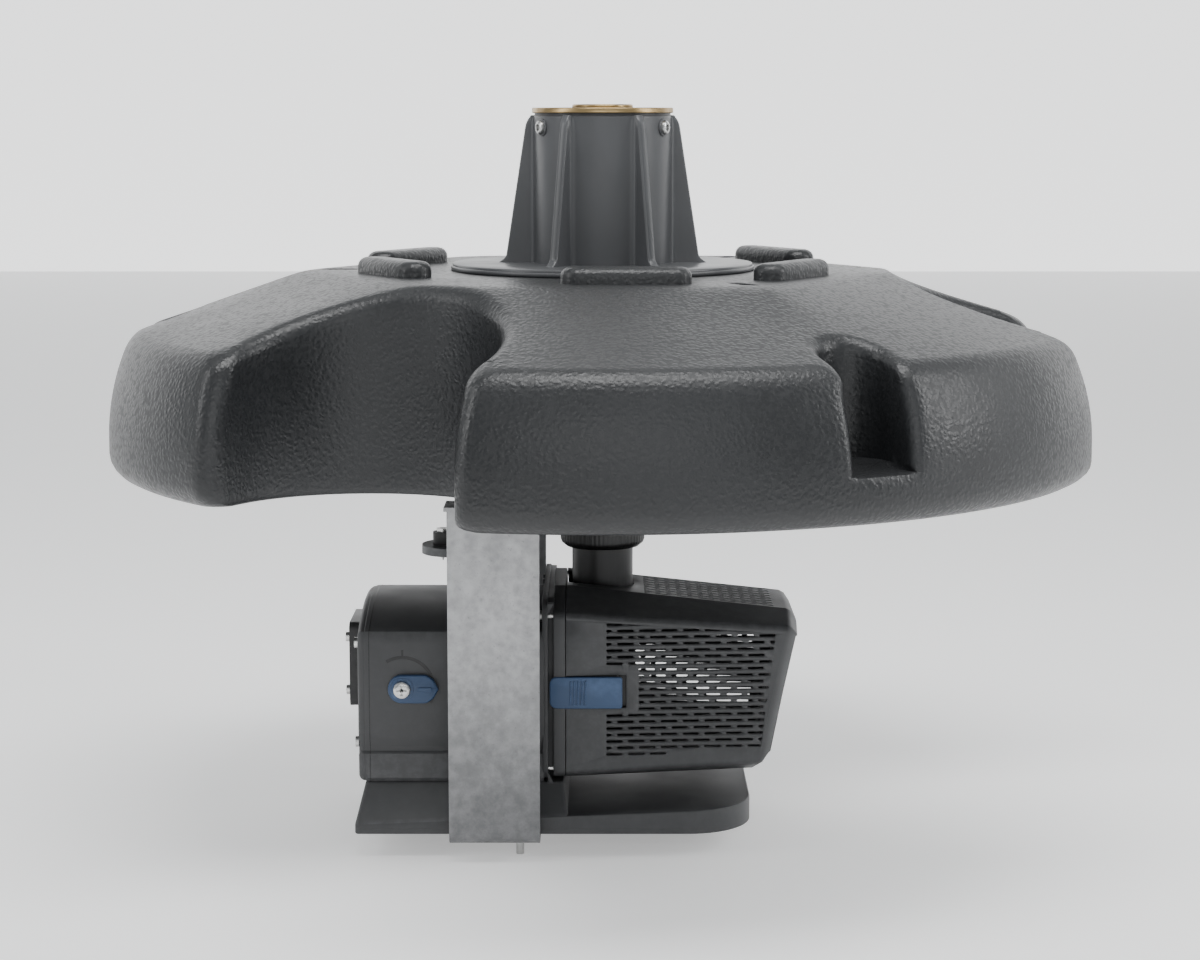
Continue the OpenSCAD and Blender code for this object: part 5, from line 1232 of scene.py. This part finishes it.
# Slots in staggered rows, and where the rows begin and end on each panel
HOLE_LENGTH = 12.4
SHORT_HOLE = 4.4
HOLE_WIDTH = 2.0
HOLE_PITCH = 16.0
HOLE_ROW = 4.845
SIDE_ROW_TOP, SIDE_X0, BESIDE_LATCH_X0 = 51.6, 2.5, 26.1
SIDE_X1, SIDE_X1_LEAN = 122.0, 0.12
SIDE_ROWS, TOP_ROWS, FACE_ROWS, FACE_COLUMNS = 21, 15, 19, 4
TOP_ROW_Y = -34.3
TOP_ROW = 4.9
TOP_X0 = 31.0
TOP_X1 = 128.0
FACE_ROW_TOP, FACE_HALF = 36.0, 52
# Heights between which rows stand beside the latch, and rows that stop early, with where they stop
LATCH_ROWS = (-15, 19)
OUTER_ROWS, OUTER_STOP = (-44, 50), 50
NEXT_ROWS, NEXT_STOP = (45, 50), 95
WINDOW_X1 = 17.5
WINDOW_Z0 = -10.5
WINDOW_Z1 = 14
RISER_CUT_R = 24.4

start_line = soft(CAGE_START, CAGE_ROUND, 4)
end_line = soft(CAGE_END, CAGE_ROUND, 4)


def cage_end_x(z):
    """The plane in which the cage's end bevel starts, leaning with height."""
    return CAGE_END_X + CAGE_LEAN * z


def section_row(line, x):
    """A section's outline, in Y and height over the axis, put at x."""
    return np.column_stack([np.broadcast_to(x, (len(line),)), line[:, 0], line[:, 1] + PUMP_Z])


def end_row(gap, past):
    """The end's outline moved in by a gap, its corners drawn tighter, past the leaning plane."""
    line = soft(inset(np.array(CAGE_END, float), gap), max(CAGE_ROUND - 0.5 * gap, 1.0), 4)
    return section_row(line, cage_end_x(end_line[:, 1]) + past)


def cage_loft(rows):
    """The skin between the rows, left open for the panels, and the two points that each panel starts from."""
    n = len(start_line)
    faces, panels = [], {}
    for i in range(n):
        j = (i + 1) % n
        (y0, z0), (y1, z1) = start_line[i], start_line[j]
        for r in range(len(rows) - 1):
            if r == 0 and math.hypot(y1 - y0, z1 - z0) > 60 and z0 + z1 > -120:
                panels["top" if abs(z0 - z1) < 1 else "right" if y0 > 0 else "left"] = (i, j)
            else:
                faces.append([r * n + i, r * n + j, (r + 1) * n + j, (r + 1) * n + i])
    return faces, panels


def slot_holes(z_rows, x_start, x_end, skip=lambda z, x: False):
    """Staggered slots in rows, as outlines in the panel's own X and row coordinate."""
    holes = []
    for k, z in enumerate(z_rows):
        short = (k + (x_start(z) > 20)) % 2
        first = [(x_start(z), SHORT_HOLE)] if short else []
        x = x_start(z) + HOLE_PITCH / 2 * short
        for x0, length in first + [(x + HOLE_PITCH * m, HOLE_LENGTH) for m in range(12)]:
            cut = min(length, x_end(z) - x0)
            if cut > 3.0 and not skip(z, x0):
                holes.append(stadium(cut, HOLE_WIDTH, 3) + [x0 + cut / 2, z])
    return holes


def side_row_start(z):
    """Rows beside the latch begin behind it."""
    return BESIDE_LATCH_X0 if LATCH_ROWS[0] < z < LATCH_ROWS[1] else SIDE_X0


def side_row_end(z):
    """Rows end along a line that leans with the cage's end."""
    return SIDE_X1 + SIDE_X1_LEAN * z


def side_row_stops(z, x):
    """The outermost rows stop half way, and the uppermost of the others a little before the end."""
    outer = z > OUTER_ROWS[1] or z < OUTER_ROWS[0]
    return outer and x > OUTER_STOP or NEXT_ROWS[0] < z < NEXT_ROWS[1] and x > NEXT_STOP


def side_panel(rows, ends, side):
    """One slotted side, its start cut out round the latch, its corners on those of the loft."""
    i, j = ends
    corners = np.array([rows[0][i], rows[0][j], rows[1][j], rows[1][i]])
    flat = corners[:, [0, 2]] - [0, PUMP_Z]
    if flat[0, 1] > flat[1, 1]:
        flat = flat[[1, 0, 3, 2]]
    low_start, high_start, high_end, low_end = flat
    outline = [low_start, low_end, high_end, high_start, (CAGE_X0, WINDOW_Z1), (WINDOW_X1, WINDOW_Z1),
               (WINDOW_X1, WINDOW_Z0), (CAGE_X0, WINDOW_Z0)]
    holes = slot_holes([SIDE_ROW_TOP - HOLE_ROW * k for k in range(SIDE_ROWS)],
                       side_row_start, side_row_end, side_row_stops)
    y0, y1 = abs(corners[0, 1]), abs(corners[2, 1])
    slope = (y1 - y0) / (cage_end_x(0) - CAGE_X0)
    corner_at = {(round(float(p[0]), 2), round(float(p[2] - PUMP_Z), 2)): p for p in corners}

    def lift(p):
        """Leans the plan towards the end, and puts its corners on the loft's own points."""
        placed = np.column_stack([p[:, 0], side * (y0 + slope * (p[:, 0] - CAGE_X0)), p[:, 1] + PUMP_Z])
        for k, (x, z) in enumerate(p):
            placed[k] = corner_at.get((round(float(x), 2), round(float(z), 2)), placed[k])
        return placed
    return panel(outline, holes, lift, side > 0)


def top_panel(rows, ends):
    """The sloping slotted top, cut out in a half circle round the riser."""
    start, end = rows[0][ends[0]], rows[1][ends[0]]
    a = np.linspace(math.pi / 2, -math.pi / 2, 24)
    riser = np.stack([RISER_CUT_R * np.cos(a), RISER_CUT_R * np.sin(a)], axis=1)
    y0, y1 = abs(start[1]), abs(end[1])
    outline = [(CAGE_X0, -y0), (end[0], -y1), (end[0], y1), (CAGE_X0, y0), (CAGE_X0, RISER_CUT_R)]
    outline += riser.tolist() + [(CAGE_X0, -RISER_CUT_R)]
    holes = slot_holes([TOP_ROW * k + TOP_ROW_Y for k in range(TOP_ROWS)], lambda z: TOP_X0, lambda z: TOP_X1)
    slope = (end[2] - start[2]) / (end[0] - start[0])
    return panel(outline, holes, lambda p: np.column_stack([p, start[2] + slope * (p[:, 0] - CAGE_X0)]))


def end_panel(rows):
    """The leaning slotted end face."""
    holes = []
    for k in range(FACE_ROWS):
        for m in range(-FACE_COLUMNS, FACE_COLUMNS + 1):
            y = HOLE_PITCH * m + HOLE_PITCH / 2 * (k % 2)
            if abs(y) < FACE_HALF:
                holes.append(stadium(HOLE_LENGTH, HOLE_WIDTH, 3) + [y, FACE_ROW_TOP - HOLE_ROW * k])
    past = END_ROWS[-1][1]
    return panel(rows[-1][:, 1:] - [0, PUMP_Z], holes,
                 lambda p: np.column_stack([cage_end_x(p[:, 1]) + past, p[:, 0], p[:, 1] + PUMP_Z]))


rows = [section_row(start_line, CAGE_X0), section_row(end_line, cage_end_x(end_line[:, 1]))]
rows += [end_row(gap, past) for gap, past in END_ROWS]
loft_faces, panels = cage_loft(rows)
parts = [(np.concatenate(rows), loft_faces), side_panel(rows, panels["right"], 1),
         side_panel(rows, panels["left"], -1), top_panel(rows, panels["top"]), end_panel(rows)]
cage = merged("cage_skin", parts, body="cage", slot="cage_grey", crease=30)
shell = cage.modifiers.new("wall", "SOLIDIFY")
shell.thickness, shell.offset = CAGE_WALL, -1.0
even = cage.modifiers.new("normals", "WEIGHTED_NORMAL")
even.keep_sharp = True
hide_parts("strainer_cage")

# Latches: a black plate of painted shade in a pocket and a pin on the cage, and a blue plate with finger ribs
# that swings

LATCH_PIN_X = 11
LATCH_PIN_Y = 83.0
LATCH_PIN_R = 0.7
LATCH_Z0 = -10.4
LATCH_Z1 = 13.9
# Two corners in X and height over the axis, then the near and far distance from the middle plane
POCKET_SHADE = ((-26.4, -12.5), (19.0, 16.0), 76.5, 78.3)
PLATE = ((-38.6, -10.2), (14.4, 13.2), 83.8, 86.5)
RIB_X0 = -24.0
RIB_STEP = 2.7
RIB_W = 1.3
RIB_COUNT = 5
RIB_Z0 = -7.5
RIB_Z1 = 10.5
RIB_Y0 = 86.0
RIB_Y1 = 87.45


def rounded_box(corner0, corner1, radius, steps):
    """A rounded rectangle in X and Z, its heights over the motor's axis."""
    return soft(rectangle(corner0[0], PUMP_Z + corner0[1], corner1[0], PUMP_Z + corner1[1]), radius, steps)


for side, body, node in ((-1, "front_latch", "latch_front"), (1, "rear_latch", "latch_rear")):
    # The pocket's dark plate is painted shade: black plastic put where the recess behind the latch lies in
    # shade.
    pocket_shade = two_sided(f"latch_pocket_shade_{node}", rounded_box(*POCKET_SHADE[:2], 1, 2), *POCKET_SHADE[2:], side, body="cage",
                       slot="black_plastic")
    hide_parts("strainer_cage")
    pin = turned(f"pin_{node}", [(0.01, LATCH_Z0), (LATCH_PIN_R, LATCH_Z0), (LATCH_PIN_R, LATCH_Z1),
                                 (0.01, LATCH_Z1)],
                 (LATCH_PIN_X, side * LATCH_PIN_Y, PUMP_Z), steps=16, body="cage", slot="cage_grey")
    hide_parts("latch_pins")
    plate = two_sided(f"plate_{node}", rounded_box(*PLATE[:2], [5, 2, 2, 5], 5), *PLATE[2:], side, 0.9,
                      body=body, slot="blue_plastic", crease=45)
    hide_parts(node)
    for k in range(RIB_COUNT):
        x = RIB_X0 + RIB_STEP * k
        rib = two_sided(f"rib_{node}_{k}", rounded_box((x, RIB_Z0), (x + RIB_W, RIB_Z1), 0.5, 3),
                        RIB_Y0, RIB_Y1, side, 0.6, body=body, slot="blue_plastic")
        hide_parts(node)

# Floor, light and camera

FLOOR_Z = low("foot_bolts")[2] * MM
STAGE, WALL_Y0, WALL_TOP = 14.0, 7.0, 9.0
LENS, CAMERA_PLACE, CAMERA_PITCH = 78.06, (-0.0019, -1.944, 0.2196), 81.97


def area_light(name, size, power, place, aim):
    """A soft rectangular lamp at place, in metres, facing aim."""
    data = bpy.data.lights.new(name, "AREA")
    data.shape, data.size, data.size_y = "RECTANGLE", size[0], size[1]
    data.energy = power
    lamp = bpy.data.objects.new(name, data)
    lamp.location = place
    lamp.rotation_euler = (Vector(aim) - Vector(place)).to_track_quat("-Z", "Y").to_euler()
    bpy.context.scene.collection.objects.link(lamp)


def stage_sheet(name, corners, finish, glow, roughness=0.5, specular=0.5):
    """A pale, faintly glowing four-cornered sheet of the studio, in metres."""
    mesh = bpy.data.meshes.new(name)
    mesh.from_pydata(corners, [], [(0, 1, 2, 3)])
    sheet = bpy.data.objects.new(name, mesh)
    bpy.context.scene.collection.objects.link(sheet)
    mat, _, shader = material(finish)
    for socket, value in (("Base Color", (0.9, 0.9, 0.9, 1)), ("Roughness", roughness),
                          ("Specular IOR Level", specular), ("Emission Color", (1, 1, 1, 1)),
                          ("Emission Strength", glow)):
        shader.inputs[socket].default_value = value
    mesh.materials.append(mat)
    return sheet


floor = stage_sheet("floor", [(-STAGE, -STAGE, FLOOR_Z), (STAGE, -STAGE, FLOOR_Z), (STAGE, STAGE, FLOOR_Z),
                              (-STAGE, STAGE, FLOOR_Z)], "pale_floor", 0.4, 0.8, 0.1)
wall_object = stage_sheet("backdrop", [(-STAGE, WALL_Y0, FLOOR_Z), (STAGE, WALL_Y0, FLOOR_Z),
                                       (STAGE, WALL_TOP, WALL_TOP), (-STAGE, WALL_TOP, WALL_TOP)],
                          "white_backdrop", 1.35)

world = bpy.data.worlds.new("studio")
bpy.context.scene.world = world
world.use_nodes = True
sky = world.node_tree.nodes["Background"]
sky.inputs["Color"].default_value = (0.93, 0.97, 1.0, 1)
sky.inputs["Strength"].default_value = 0.46

area_light("overhead_softbox", (1.6, 0.8), 34.0, (0.1, -0.55, 1.8), (0.0, 0.0, 0.0))
area_light("left_window", (0.5, 1.5), 12.0, (-1.9, -0.7, 0.9), (0.0, 0.0, -0.05))
area_light("right_window", (0.4, 1.3), 16.0, (1.9, -0.4, 0.8), (0.0, 0.0, -0.05))
area_light("front_fill", (2.0, 0.5), 9.0, (0.2, -2.6, 0.75), (0.0, 0.0, 0.0))

camera_data = bpy.data.cameras.new("camera")
camera_data.sensor_width = 36.0
camera_data.lens = LENS
camera = bpy.data.objects.new("camera", camera_data)
camera.location = CAMERA_PLACE
camera.rotation_euler = (math.radians(CAMERA_PITCH), 0.0, 0.0)
bpy.context.scene.collection.objects.link(camera)
bpy.context.scene.camera = camera
